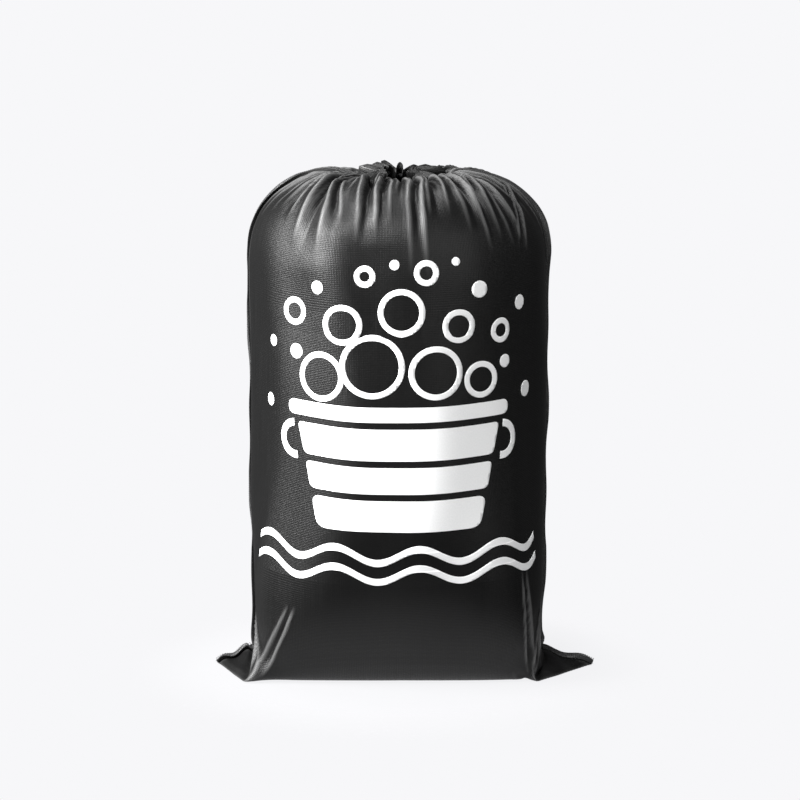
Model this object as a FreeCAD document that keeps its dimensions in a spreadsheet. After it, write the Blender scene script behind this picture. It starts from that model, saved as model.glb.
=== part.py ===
import FreeCAD, Part
import math
import os

import Sketcher

# A large drawstring laundry bag, packed full and standing on its base with the mouth
# drawn shut. Two flat cloth panels are sewn up both sides and along the bottom, a tunnel
# band at the mouth holds the cord, and the corners of the bottom stick out as flat ears.
# The origin is on the floor under the middle of the bag. The print faces -Y, +Z is up.

os.makedirs("parts", exist_ok=True)
doc = FreeCAD.newDocument("laundry_bag")
Vector = FreeCAD.Vector

# ---------------------------------------------------------------------------
# Driving dimensions, in millimetres
# ---------------------------------------------------------------------------

DIMENSIONS = [
    ("panel_width", 610, "flat width of the bag, edge to edge of its side seams"),
    ("filled_height", 642, "floor to the top of the gathered crown, bag full"),
    ("cloth", 1.2, "thickness that stands for one layer of cloth"),
    ("seam_flange", 8, "how far the sewn edges stand out along each side"),
    ("base_edge", 25, "radius where the base turns up into the side"),
    ("shoulder_radius", 115, "radius of the shoulder"),
    ("crown_radius", 305, "radius of the domed crown, in side view"),
    ("lip_radius", 12, "roll of the crown down into the mouth"),
    ("mouth_radius", 46, "inside radius of the lip, outside radius of the tunnel band"),
    ("lip_drop", 22, "straight part of the lip that the tunnel band is sewn to"),
    ("ear_reach", 247, "middle of the bag to the tip of a corner ear"),
    ("ear_root", 166, "radius of the base at the ears"),
    ("seam_bend", 20, "inside curve of the seam edge from the side to the ear"),
    ("ear_tip_gap", 4, "how far the seam edge stops short of the tip"),
    ("seam_tape_width", 8, "width of the bottom seam's overlock"),
    ("seam_tape_depth", 0.8, "thickness of the bottom seam's overlock"),
    ("overlock_width", 5, "how far the side overlock wraps in from the edge"),
    ("thread", 0.4, "thickness of a layer of thread"),
    ("stitch_place", 1.6, "where the side stitching runs, above the panel"),
    ("stitch_width", 0.6, "width of a row of stitching"),
    ("band_depth", 18, "tunnel band, from its mouth side to the lip"),
    ("band_height", 28, "tunnel band, top to bottom"),
    ("band_sink", 10, "top of the tunnel band below the top of the crown"),
    ("band_round", 4, "rounding of the tunnel band's edges"),
    ("tunnel_bore", 8, "diameter of the channel that the cord runs in"),
    ("cord_diameter", 5, "diameter of the drawcord"),
    ("cord_exit", 7, "gap between the two tunnel bands where the cord comes out"),
    ("print_film", 0.3, "thickness of the printed film"),
    ("print_rise", 10, "how far up the print is moved from where it is drawn"),
    ("load_gap", 1.5, "clearance between the cloth and the load"),
    ("load_height", 598, "floor to the flat top of the load"),
]

sizes = doc.addObject("Spreadsheet::Sheet", "Sizes")
for row, (alias, amount, note) in enumerate(DIMENSIONS, start=1):
    sizes.set(f"A{row}", note)
    sizes.set(f"B{row}", str(amount))
    sizes.setAlias(f"B{row}", alias)
doc.recompute()


def amount_of(expression):
    """The present value of an expression on the sheet."""
    return float(sizes.evalExpression(str(expression)))


# Sizes worked out from the sheet. The filled bag is round, so its girth is twice the
# panel width between the seams. Shoulder, crown and lip are arcs that run smoothly into
# each other, so each centre follows from the arc next to it.
RADIUS = "((Sizes.panel_width - 2 * Sizes.seam_flange) / pi)"
BASE_X = f"({RADIUS} - Sizes.base_edge)"
SHOULDER_X = f"({RADIUS} - Sizes.shoulder_radius)"
LIP_X = "(Sizes.mouth_radius + Sizes.lip_radius)"
LIP_Z = "(Sizes.filled_height - Sizes.lip_radius)"
LIP_REACH = "(Sizes.crown_radius - Sizes.lip_radius)"
LIP_RISE = f"sqrt({LIP_REACH}^2 - {LIP_X}^2)"
CROWN_Z = f"({LIP_Z} - {LIP_RISE})"
SHOULDER_REACH = "(Sizes.crown_radius - Sizes.shoulder_radius)"
SHOULDER_RISE = f"sqrt({SHOULDER_REACH}^2 - {SHOULDER_X}^2)"
SHOULDER_Z = f"({CROWN_Z} + {SHOULDER_RISE})"
EAR_TOP = "(2 * Sizes.cloth)"
BEND_X = f"({RADIUS} + Sizes.seam_flange + Sizes.seam_bend)"
BEND_Z = f"({EAR_TOP} + Sizes.seam_flange + Sizes.seam_bend)"
SEAM_TIP = "(Sizes.ear_reach - Sizes.ear_tip_gap)"
BAND_TOP = "(Sizes.filled_height - Sizes.band_sink)"
BAND_BOTTOM = f"({BAND_TOP} - Sizes.band_height)"
BAND_INNER = "(Sizes.mouth_radius - Sizes.band_depth)"
TUNNEL_X = "(Sizes.mouth_radius - Sizes.band_depth / 2)"
TUNNEL_Z = f"({BAND_TOP} - Sizes.band_height / 2)"

# ---------------------------------------------------------------------------
# Paths. A corner is (x, y, bend): bend is None for a straight run to the next
# corner, or ("left" or "right", radius) for an arc that turns that way.
# ---------------------------------------------------------------------------

OTHER_WAY = {"left": "right", "right": "left"}


def backwards(path):
    """The same open path, walked from its far end."""
    corners = [(x, y) for x, y, bend in path]
    bends = [bend for x, y, bend in path]
    walked = []
    for index in range(len(path) - 1, -1, -1):
        bend = bends[index - 1] if index > 0 else None
        if bend is not None:
            bend = (OTHER_WAY[bend[0]], bend[1])
        walked.append((corners[index][0], corners[index][1], bend))
    return walked


def mirrored(path):
    """The same path on the other side of the Z axis."""
    flipped = []
    for x, y, bend in path:
        if bend is not None:
            bend = (OTHER_WAY[bend[0]], bend[1])
        flipped.append((f"-({x})", y, bend))
    return flipped


def shoulder_and_crown(grow):
    """Top of the side, over the shoulder, to where the crown meets the lip."""
    shoulder = f"(Sizes.shoulder_radius + {grow})"
    lip = f"(Sizes.lip_radius + {grow})"
    return [
        (f"{RADIUS} + {grow}", SHOULDER_Z, ("left", shoulder)),
        (
            f"{SHOULDER_X} + {shoulder} * {SHOULDER_X} / {SHOULDER_REACH}",
            f"{SHOULDER_Z} + {shoulder} * {SHOULDER_RISE} / {SHOULDER_REACH}",
            ("left", f"Sizes.crown_radius + {grow}"),
        ),
        (
            f"{LIP_X} + {lip} * {LIP_X} / {LIP_REACH}",
            f"{LIP_Z} + {lip} * {LIP_RISE} / {LIP_REACH}",
            None,
        ),
    ]


def bag_profile(grow):
    """One side of the bag in section, from the flat base to the end of the lip."""
    path = [
        (BASE_X, f"-({grow})", ("left", f"Sizes.base_edge + {grow}")),
        (f"{RADIUS} + {grow}", "Sizes.base_edge", None),
    ]
    path += shoulder_and_crown(grow)
    end_of_crown = path.pop()
    path.append((end_of_crown[0], end_of_crown[1], ("left", f"Sizes.lip_radius + {grow}")))
    path.append((f"Sizes.mouth_radius - ({grow})", LIP_Z, None))
    path.append((f"Sizes.mouth_radius - ({grow})", f"{LIP_Z} - Sizes.lip_drop", None))
    return path


def seam_line(height):
    """The seam at a height above the cloth, from the ear's tip to the end of the crown."""
    bend = f"(Sizes.seam_flange + Sizes.seam_bend - ({height}))"
    path = [
        (SEAM_TIP, f"{EAR_TOP} + {height}", None),
        (BEND_X, f"{EAR_TOP} + {height}", ("right", bend)),
        (f"{BEND_X} - {bend}", BEND_Z, None),
    ]
    return path + shoulder_and_crown(height)


def seam_strip(low, high):
    """A closed strip along the seam, between two heights above the cloth."""
    return seam_line(high) + backwards(seam_line(low))


def seam_edge():
    """The two sewn edges of cloth that stand out along a side and over an ear."""
    sunk = "(0 - Sizes.cloth / 2)"
    edge = f"(Sizes.base_edge + {sunk})"
    foot = f"({EAR_TOP} + {sunk})"
    foot_x = f"{BASE_X} + sqrt({edge}^2 - (Sizes.base_edge - {foot})^2)"
    inner = backwards(shoulder_and_crown(sunk))
    inner.append((f"{RADIUS} + {sunk}", "Sizes.base_edge", ("right", edge)))
    inner.append((foot_x, foot, None))
    inner.append((SEAM_TIP, foot, None))
    return seam_line("Sizes.seam_flange") + inner


def box_path(low_x, high_x, low_y, high_y):
    """A rectangle."""
    return [
        (low_x, low_y, None),
        (high_x, low_y, None),
        (high_x, high_y, None),
        (low_x, high_y, None),
    ]


def rounded_box_path(low_x, high_x, low_y, high_y, radius):
    """A rectangle with rounded corners."""
    turn = ("left", radius)
    return [
        (f"{low_x} + {radius}", low_y, None),
        (f"{high_x} - {radius}", low_y, turn),
        (high_x, f"{low_y} + {radius}", None),
        (high_x, f"{high_y} - {radius}", turn),
        (f"{high_x} - {radius}", high_y, None),
        (f"{low_x} + {radius}", high_y, turn),
        (low_x, f"{high_y} - {radius}", None),
        (low_x, f"{low_y} + {radius}", turn),
    ]


# ---------------------------------------------------------------------------
# Sketches and features
# ---------------------------------------------------------------------------


def arc_through(start, end, turn, radius):
    """The arc of a given radius from start to end, turning left or right."""
    chord = end - start
    left = Vector(-chord.y, chord.x, 0).normalize()
    if turn == "right":
        left = left.negative()
    rise = math.sqrt(max(radius**2 - (chord.Length / 2) ** 2, 0.0))
    centre = (start + end) * 0.5 + left * rise
    circle = Part.Circle(centre, Vector(0, 0, 1), radius)
    from_centre = start - centre
    to_centre = end - centre
    first = math.atan2(from_centre.y, from_centre.x)
    last = math.atan2(to_centre.y, to_centre.x)
    if turn == "right":
        first, last = last, first
    return Part.ArcOfCircle(circle, first, last)


def bind(sketch, constraint, expression):
    """Add a constraint and tie its value to the sheet."""
    number = sketch.addConstraint(constraint)
    sketch.setExpression(f"Constraints[{number}]", expression)


def draw_loop(sketch, path):
    """Draw one closed path, with every corner and radius tied to the sheet."""
    spots = [Vector(amount_of(x), amount_of(y), 0) for x, y, bend in path]
    first_edge = sketch.GeometryCount
    ends = []
    for index, (x, y, bend) in enumerate(path):
        start = spots[index]
        end = spots[(index + 1) % len(path)]
        if bend is None:
            sketch.addGeometry(Part.LineSegment(start, end))
            ends.append((1, 2))
        else:
            turn, radius = bend
            sketch.addGeometry(arc_through(start, end, turn, amount_of(radius)))
            ends.append((1, 2) if turn == "left" else (2, 1))
    for index, (x, y, bend) in enumerate(path):
        edge = first_edge + index
        after = (index + 1) % len(path)
        joint = (edge, ends[index][1], first_edge + after, ends[after][0])
        sketch.addConstraint(Sketcher.Constraint("Coincident", *joint))
    for index, (x, y, bend) in enumerate(path):
        edge = first_edge + index
        corner = (-1, 1, edge, ends[index][0])
        bind(sketch, Sketcher.Constraint("DistanceX", *corner, spots[index].x), x)
        bind(sketch, Sketcher.Constraint("DistanceY", *corner, spots[index].y), y)
        if bend is not None:
            radius = amount_of(bend[1])
            bind(sketch, Sketcher.Constraint("Radius", edge, radius), bend[1])


def draw_circle(sketch, x, y, diameter):
    """Draw a circle tied to the sheet."""
    centre = Vector(amount_of(x), amount_of(y), 0)
    circle = Part.Circle(centre, Vector(0, 0, 1), amount_of(diameter) / 2)
    edge = sketch.addGeometry(circle)
    bind(sketch, Sketcher.Constraint("DistanceX", -1, 1, edge, 3, centre.x), x)
    bind(sketch, Sketcher.Constraint("DistanceY", -1, 1, edge, 3, centre.y), y)
    bind(sketch, Sketcher.Constraint("Diameter", edge, amount_of(diameter)), diameter)


def new_body(name):
    """An empty body whose label names its file."""
    body = doc.addObject("PartDesign::Body", name)
    body.Label = name
    return body


def new_sketch(body, role, path=None):
    """A sketch on one of the body's own planes."""
    sketch = body.newObject("Sketcher::SketchObject", f"{body.Name}_sketch")
    plane = next(item for item in body.Origin.OriginFeatures if item.Role == role)
    sketch.AttachmentSupport = (plane, [""])
    sketch.MapMode = "FlatFace"
    if path is not None:
        draw_loop(sketch, path)
    return sketch


def turn_about_z(body, sketch, angle, reverse=False):
    """Revolve a sketch on the XZ plane about the Z axis."""
    feature = body.newObject("PartDesign::Revolution", f"{body.Name}_turned")
    feature.Profile = sketch
    feature.ReferenceAxis = (sketch, ["V_Axis"])
    feature.Angle = angle
    feature.Reversed = reverse
    return feature


def pad(body, sketch, length, reverse=False, both_ways=False):
    """Pad a sketch by a length tied to the sheet."""
    feature = body.newObject("PartDesign::Pad", f"{body.Name}_pad")
    feature.Profile = sketch
    feature.Length = amount_of(length)
    feature.setExpression("Length", length)
    feature.Reversed = reverse
    if both_ways:
        feature.SideType = "Symmetric"
    return feature


def pocket(body, sketch, length, reverse=False, both_ways=False):
    """Cut a sketch into the body, and stop if it takes nothing away."""
    doc.recompute()
    before = body.Shape.Volume
    feature = body.newObject("PartDesign::Pocket", f"{body.Name}_pocket")
    feature.Profile = sketch
    feature.Length = amount_of(length)
    feature.setExpression("Length", length)
    feature.Reversed = reverse
    if both_ways:
        feature.SideType = "Symmetric"
    doc.recompute()
    if body.Shape.Volume >= before:
        raise RuntimeError(f"{body.Name}: a pocket cut nothing")
    return feature


# ---------------------------------------------------------------------------
# The two cloth panels: half of the round shell, half of each flat ear, and the
# sewn edge that stands out along each side
# ---------------------------------------------------------------------------


def ear_path(front):
    """Half of the right ear, seen from above: straight from the base's edge to the tip."""
    side = "-" if front else ""
    touch_x = "Sizes.ear_root^2 / Sizes.ear_reach"
    touch_y = f"{side}sqrt(Sizes.ear_root^2 - ({touch_x})^2)"
    if front:
        return [
            (touch_x, touch_y, None),
            ("Sizes.ear_reach", "0", None),
            ("Sizes.ear_root", "0", ("right", "Sizes.ear_root")),
        ]
    return [
        ("Sizes.ear_root", "0", None),
        ("Sizes.ear_reach", "0", None),
        (touch_x, touch_y, ("right", "Sizes.ear_root")),
    ]


def make_panel(name, front):
    """A cloth panel with its halves of the base, the ears and the side seams."""
    body = new_body(name)
    section = [("0", "0", None)] + bag_profile("0")
    section += backwards(bag_profile("(0 - Sizes.cloth)"))
    section.append(("0", "Sizes.cloth", None))
    turn_about_z(body, new_sketch(body, "XZ_Plane", section), 180, reverse=front)
    for ear in (ear_path(front), mirrored(ear_path(front))):
        pad(body, new_sketch(body, "XY_Plane", ear), EAR_TOP)
    for edge in (seam_edge(), mirrored(seam_edge())):
        pad(body, new_sketch(body, "XZ_Plane", edge), "Sizes.cloth", reverse=not front)
    half_tape = "Sizes.seam_tape_width / 2"
    low, high = (f"-{half_tape}", "0") if front else ("0", half_tape)
    groove = box_path(f"-{SEAM_TIP}", SEAM_TIP, low, high)
    pocket(body, new_sketch(body, "XY_Plane", groove), "Sizes.seam_tape_depth", reverse=True)
    return body


# ---------------------------------------------------------------------------
# Threads: the overlock that wraps each sewn edge, and the rows of stitching
# ---------------------------------------------------------------------------


def make_side_thread(name, low, high, inner_low, inner_high, on_left):
    """Thread on both faces of a sewn edge, and round its end if it reaches past it."""
    body = new_body(name)
    outer = seam_strip(low, high)
    inner = seam_strip(inner_low, inner_high)
    if on_left:
        outer = mirrored(outer)
        inner = mirrored(inner)
    across = "2 * (Sizes.cloth + Sizes.thread)"
    pad(body, new_sketch(body, "XZ_Plane", outer), across, both_ways=True)
    pocket(body, new_sketch(body, "XZ_Plane", inner), "2 * Sizes.cloth", both_ways=True)
    return body


def make_bottom_seam():
    """Flat overlock along the bottom of the bag, from tip to tip."""
    body = new_body("bottom_seam")
    half_tape = "Sizes.seam_tape_width / 2"
    strip = box_path(f"-{SEAM_TIP}", SEAM_TIP, f"-{half_tape}", half_tape)
    pad(body, new_sketch(body, "XY_Plane", strip), "Sizes.seam_tape_depth")
    return body


def make_bottom_stitching():
    """The row of stitching on the inside of the bottom seam."""
    body = new_body("bottom_stitching")
    half = "Sizes.stitch_width / 2"
    reach = f"({BASE_X} - Sizes.seam_bend)"
    row_path = box_path(f"-{reach}", reach, f"-{half}", half)
    sketch = new_sketch(body, "XY_Plane", row_path)
    sketch.AttachmentOffset = FreeCAD.Placement(
        Vector(0, 0, amount_of("Sizes.cloth")), FreeCAD.Rotation()
    )
    sketch.setExpression("AttachmentOffset.Base.z", "Sizes.cloth")
    pad(body, sketch, "Sizes.thread")
    return body


# ---------------------------------------------------------------------------
# The tunnel bands round the mouth, their stitching, and the cord inside them
# ---------------------------------------------------------------------------


def cut_cord_exit(body, front):
    """Take half of the cord's exit gap off the band's right-hand end."""
    half_gap = "Sizes.cord_exit / 2"
    low, high = (f"-{half_gap}", "0") if front else ("0", half_gap)
    gap = box_path(f"{BAND_INNER} / 2", "Sizes.mouth_radius * 1.1", low, high)
    pocket(body, new_sketch(body, "XY_Plane", gap), "Sizes.filled_height", reverse=True)


def make_band(name, front):
    """Half of the gathered tunnel band, with the channel for the cord."""
    body = new_body(name)
    section = rounded_box_path(
        BAND_INNER, "Sizes.mouth_radius", BAND_BOTTOM, BAND_TOP, "Sizes.band_round"
    )
    sketch = new_sketch(body, "XZ_Plane", section)
    draw_circle(sketch, TUNNEL_X, TUNNEL_Z, "Sizes.tunnel_bore")
    turn_about_z(body, sketch, 180, reverse=front)
    cut_cord_exit(body, front)
    return body


def make_band_stitching(name, front):
    """The row of stitching that closes the tunnel, on the band's mouth side."""
    body = new_body(name)
    low = f"{BAND_BOTTOM} + Sizes.band_round"
    row_path = box_path(
        f"{BAND_INNER} - Sizes.thread", BAND_INNER, low, f"{low} + Sizes.stitch_width"
    )
    turn_about_z(body, new_sketch(body, "XZ_Plane", row_path), 180, reverse=front)
    cut_cord_exit(body, front)
    return body


def make_drawcord():
    """The closed round of cord inside the tunnel."""
    cord = doc.addObject("Part::Torus", "drawcord")
    cord.Label = "drawcord"
    cord.setExpression("Radius1", TUNNEL_X)
    cord.setExpression("Radius2", "Sizes.cord_diameter / 2")
    cord.setExpression("Placement.Base.z", TUNNEL_Z)
    return cord


# ---------------------------------------------------------------------------
# The load that fills the bag
# ---------------------------------------------------------------------------


def make_load():
    """Folded washing, as one round block with a flat top below the mouth."""
    body = new_body("laundry_load")
    inset = "(Sizes.cloth + Sizes.load_gap)"
    shoulder = f"(Sizes.shoulder_radius - {inset})"
    over = f"(Sizes.load_height - {SHOULDER_Z})"
    section = [
        ("0", inset, None),
        (BASE_X, inset, ("left", f"Sizes.base_edge - {inset}")),
        (f"{RADIUS} - {inset}", "Sizes.base_edge", None),
        (f"{RADIUS} - {inset}", SHOULDER_Z, ("left", shoulder)),
        (f"{SHOULDER_X} + sqrt({shoulder}^2 - {over}^2)", "Sizes.load_height", None),
        ("0", "Sizes.load_height", None),
    ]
    turn_about_z(body, new_sketch(body, "XZ_Plane", section), 360)
    return body


# ---------------------------------------------------------------------------
# The print on the front: a wash tub with foam, bubbles and two lines of water
# ---------------------------------------------------------------------------

# Bubbles drawn as rings: across, up, outside radius, all from the floor and middle.
RING_BUBBLES = [
    (-92, 372, 30),
    (-30, 388, 38),
    (44, 380, 32),
    (100, 368, 22),
    (-66, 436, 24),
    (4, 452, 28),
    (72, 434, 20),
    (-132, 446, 17),
    (128, 424, 15),
    (34, 498, 15),
    (-40, 494, 13),
]
DOT_BUBBLES = [
    (-128, 398, 9),
    (134, 386, 8),
    (-98, 478, 8),
    (98, 476, 10),
    (-168, 404, 7),
    (164, 452, 9),
    (-4, 508, 6),
    (70, 510, 5),
    (-176, 330, 8),
    (176, 344, 10),
]
RING_WIDTH = 7
TUB_SLABS = [
    (322, 340, 138, 138),
    (276, 314, 124, 114),
    (236, 268, 112, 104),
    (190, 228, 102, 92),
]
HANDLE_SPOT = (127, 292)
HANDLE_RADIUS = 24
HANDLE_WIDTH = 9
WAVE_HEIGHTS = (160, 136)
WAVE_BOWS = 8
WAVE_SPAN = 46
WAVE_BOW_RADIUS = 34
WAVE_WIDTH = 9


def wave_wire(height):
    """One line of water: a ribbon of equal bows, up and down in turn."""
    lean = math.asin(WAVE_SPAN / 2 / WAVE_BOW_RADIUS)
    drop = WAVE_BOW_RADIUS * math.cos(lean)
    half = WAVE_WIDTH / 2
    sides = {1: [], -1: []}
    for side, edges in sides.items():
        for bow in range(WAVE_BOWS):
            up = 1 if bow % 2 == 0 else -1
            middle = Vector((bow - WAVE_BOWS / 2 + 0.5) * WAVE_SPAN, 0, height - up * drop)
            radius = WAVE_BOW_RADIUS + side * up * half
            spots = []
            for swing in (-lean, 0, lean):
                reach = Vector(math.sin(swing), 0, up * math.cos(swing))
                spots.append(middle + reach * radius)
            edges.append(Part.Arc(*spots).toShape())
    top, bottom = sides[1], sides[-1]
    start = Part.makeLine(bottom[0].firstVertex().Point, top[0].firstVertex().Point)
    end = Part.makeLine(top[-1].lastVertex().Point, bottom[-1].lastVertex().Point)
    return Part.Wire(Part.__sortEdges__([start] + top + [end] + bottom))


def slab_wire(low, high, half_top, half_bottom):
    """One stave-like slab of the tub, wider at the top."""
    corners = [
        Vector(-half_bottom, 0, low),
        Vector(half_bottom, 0, low),
        Vector(half_top, 0, high),
        Vector(-half_top, 0, high),
    ]
    return Part.makePolygon(corners + corners[:1])


def disc(across, up, radius):
    """A flat disc that faces the front."""
    edge = Part.makeCircle(radius, Vector(across, 0, up), Vector(0, 1, 0))
    return Part.Face(Part.Wire(edge))


def print_faces():
    """Every shape of the print, flat, in the XZ plane."""
    faces = [disc(*bubble) for bubble in DOT_BUBBLES]
    for across, up, radius in RING_BUBBLES:
        faces.append(disc(across, up, radius).cut(disc(across, up, radius - RING_WIDTH)))
    slabs = [Part.Face(slab_wire(*slab)) for slab in TUB_SLABS]
    handles = []
    for side in (-1, 1):
        spot = (side * HANDLE_SPOT[0], HANDLE_SPOT[1])
        ring = disc(*spot, HANDLE_RADIUS).cut(disc(*spot, HANDLE_RADIUS - HANDLE_WIDTH))
        for slab in TUB_SLABS[:3]:
            ring = ring.cut(Part.Face(slab_wire(*slab)))
        handles.append(max(ring.Faces, key=lambda face: face.Area))
    waves = [Part.Face(wave_wire(height)) for height in WAVE_HEIGHTS]
    return faces + slabs + handles + waves


def make_print():
    """The print as thin film on the round front of the panel."""
    radius = amount_of(RADIUS)
    film = amount_of("Sizes.print_film")
    rise = Vector(0, 0, amount_of("Sizes.print_rise"))
    low = amount_of("Sizes.base_edge")
    tall = amount_of(SHOULDER_Z) - low
    outside = Part.makeCylinder(radius + film, tall, Vector(0, 0, low))
    skin = outside.cut(Part.makeCylinder(radius, tall, Vector(0, 0, low)))
    pieces = []
    for face in print_faces():
        face.translate(rise)
        shape = face.extrude(Vector(0, -2 * radius, 0)).common(skin)
        pieces += shape.Solids
    feature = doc.addObject("Part::Feature", "front_print")
    feature.Label = "front_print"
    feature.Shape = Part.makeCompound(pieces)
    return feature


# ---------------------------------------------------------------------------
# Make every part
# ---------------------------------------------------------------------------

parts = [make_panel("front_panel", True), make_panel("back_panel", False)]

overlock_low = "(Sizes.seam_flange - Sizes.overlock_width)"
overlock_sizes = (
    overlock_low,
    "(Sizes.seam_flange + Sizes.thread)",
    f"({overlock_low} - Sizes.thread)",
    "Sizes.seam_flange",
)
stitch_top = "(Sizes.stitch_place + Sizes.stitch_width)"
stitch_sizes = (
    "Sizes.stitch_place",
    stitch_top,
    "(Sizes.stitch_place - Sizes.thread)",
    f"({stitch_top} + Sizes.thread)",
)
for side_name in ("left", "right"):
    on_left = side_name == "left"
    parts.append(make_side_thread(f"{side_name}_side_seam", *overlock_sizes, on_left))
    parts.append(make_side_thread(f"{side_name}_seam_stitching", *stitch_sizes, on_left))

parts.append(make_bottom_seam())
parts.append(make_bottom_stitching())
parts.append(make_band("front_casing", True))
parts.append(make_band("back_casing", False))
parts.append(make_band_stitching("front_casing_stitching", True))
parts.append(make_band_stitching("back_casing_stitching", False))
parts.append(make_drawcord())
parts.append(make_load())
parts.append(make_print())

# ---------------------------------------------------------------------------
# Check everything, then write one file for each part
# ---------------------------------------------------------------------------

doc.recompute()
for item in doc.Objects:
    if "Invalid" in item.State or "Error" in item.State:
        raise RuntimeError(f"{item.Name} did not compute: {item.State}")

for part in parts:
    shape = part.Shape
    if shape.isNull() or not shape.isValid():
        raise RuntimeError(f"{part.Label} is not a valid shape")
    box = shape.BoundBox
    print(
        f"{part.Label}: {len(shape.Solids)} solid(s), {shape.Volume / 1000:.1f} cm3,"
        f" X {box.XMin:.1f}..{box.XMax:.1f}, Y {box.YMin:.1f}..{box.YMax:.1f},"
        f" Z {box.ZMin:.1f}..{box.ZMax:.1f}"
    )
    shape.exportStep(os.path.join("parts", f"{part.Label}.step"))
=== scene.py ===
# %% [markdown]
# # A drawstring laundry bag, packed full
#
# The real bag is two flat panels of black polyester taffeta, sewn up both sides and along
# the bottom, with a tunnel for a cord round the mouth. Filled, it swells into a round
# post, and the two bottom corners stay behind as flat ears on the floor. Cloth does that
# by itself, so the bag is made the way it is used: sewn flat, filled, and drawn shut, all
# in one cloth simulation. Print, seams and stitches are then laid on the finished cloth.

import math

import bpy
import bmesh
import numpy as np
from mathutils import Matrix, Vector
from mathutils.bvhtree import BVHTree


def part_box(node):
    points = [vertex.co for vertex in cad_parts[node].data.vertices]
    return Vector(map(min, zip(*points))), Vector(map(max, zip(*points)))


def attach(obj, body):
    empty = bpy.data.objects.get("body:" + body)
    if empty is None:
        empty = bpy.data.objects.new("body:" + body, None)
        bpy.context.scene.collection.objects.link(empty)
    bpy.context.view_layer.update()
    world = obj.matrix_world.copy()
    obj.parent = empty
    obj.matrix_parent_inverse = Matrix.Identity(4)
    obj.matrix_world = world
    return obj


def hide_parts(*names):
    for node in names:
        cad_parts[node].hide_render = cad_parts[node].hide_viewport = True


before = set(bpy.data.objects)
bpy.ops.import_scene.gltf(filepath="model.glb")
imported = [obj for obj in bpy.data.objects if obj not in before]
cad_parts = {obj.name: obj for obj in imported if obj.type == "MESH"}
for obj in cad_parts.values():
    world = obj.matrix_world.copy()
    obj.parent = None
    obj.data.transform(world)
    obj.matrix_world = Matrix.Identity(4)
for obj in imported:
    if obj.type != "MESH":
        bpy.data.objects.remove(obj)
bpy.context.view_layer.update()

# %% [markdown]
# ## Sizes
#
# The CAD frame says how big the filled bag is. The flat panel is half of the filled girth
# wide, because two panels go once round. Only the length of the panel is stated here.

# %% Sizes read from the frame
MM = 0.001
shell_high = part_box("back_panel")[1]
band_low, band_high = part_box("front_casing")
RADIUS = shell_high[1]
PANEL_WIDTH = math.pi * RADIUS
PANEL_LENGTH = 914 * MM
TUNNEL = band_high[2] - band_low[2]
MOUTH_SILL = PANEL_LENGTH - TUNNEL
print(f"panel {PANEL_WIDTH:.3f} x {PANEL_LENGTH:.3f} m, radius {RADIUS:.3f}, tunnel {TUNNEL:.3f}")

# %% [markdown]
# ## Camera
#
# The bag is seen from the front, from a little above its middle, as a shopper would see
# it on a low plinth. A long lens keeps its sides nearly parallel.

# %% Camera
LOOK_AT = Vector((0.002, 0.0, 0.3485))
CAMERA_DISTANCE = 2.62
CAMERA_RISE = math.radians(7.5)
VIEW_WIDTH = 1.034


def add_camera():
    """A camera in front of the bag, aimed at LOOK_AT, that sees VIEW_WIDTH there."""
    data = bpy.data.cameras.new("camera")
    camera = bpy.data.objects.new("camera", data)
    bpy.context.collection.objects.link(camera)
    away = Vector((0.0, -math.cos(CAMERA_RISE), math.sin(CAMERA_RISE)))
    camera.location = LOOK_AT + away * CAMERA_DISTANCE
    camera.rotation_euler = away.to_track_quat("Z", "Y").to_euler()
    data.lens = data.sensor_width * CAMERA_DISTANCE / VIEW_WIDTH
    bpy.context.scene.camera = camera
    return camera


camera = add_camera()
print("camera at", [round(x, 2) for x in camera.location])

# %% [markdown]
# ## The cloth, flat
#
# One grid of points covers both panels. A column is a place round the girth, from the
# left seam across the front to the right seam and back across the rear. A row is a height
# up the cloth, from the bottom seam to the mouth. Rows are close together where the cloth
# folds most, at the bottom corners and under the mouth, and wide on the plain middle.

# %% Grid of the cloth
COARSE = 1.0
COLUMN_STEP = 7.8 * MM * COARSE
ROW_ZONES = [(250 * MM, 9 * MM), (600 * MM, 16 * MM), (MOUTH_SILL, 6.8 * MM)]
TUNNEL_STEP = 9 * MM

ACROSS = 2 * round(PANEL_WIDTH / COLUMN_STEP / 2)
ROUND = 2 * ACROSS
COLUMN = PANEL_WIDTH / ACROSS


def row_heights():
    """Heights of the rows up the flat cloth, zone by zone."""
    rows = [0.0]
    zones = [(top, step * COARSE) for top, step in ROW_ZONES] + [(PANEL_LENGTH, TUNNEL_STEP)]
    for top, step in zones:
        count = max(1, round((top - rows[-1]) / step))
        rows += list(np.linspace(rows[-1], top, count + 1)[1:])
    return np.array(rows)


ROWS = row_heights()
TOP_ROW = len(ROWS) - 1
SILL_ROW = int(np.argmin(abs(ROWS - MOUTH_SILL)))
print(f"grid: {ROUND} columns by {TOP_ROW + 1} rows")

# %% [markdown]
# ## The cloth, folded round a box
#
# A flat bag can be folded exactly, with no stretch, round a box that has the same girth:
# the box's front and back stand up, and the corners fold flat on the floor as triangles.
# That fold is the start of the simulation, so the ears are there from the first frame.

# %% Where the folded cloth starts
BOX_WIDTH = 385 * MM
BOX_HALF = BOX_WIDTH / 2
BOX_DEPTH = (PANEL_WIDTH - BOX_WIDTH) / 2
LIE = 2 * MM
LAYER = 4 * MM


def panel_place(column, row):
    """Across the panel from its middle, up the cloth, and -1 on the front or 1 behind."""
    girth = column * COLUMN
    if girth <= PANEL_WIDTH:
        return girth - PANEL_WIDTH / 2, ROWS[row], -1
    return 1.5 * PANEL_WIDTH - girth, ROWS[row], 1


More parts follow.
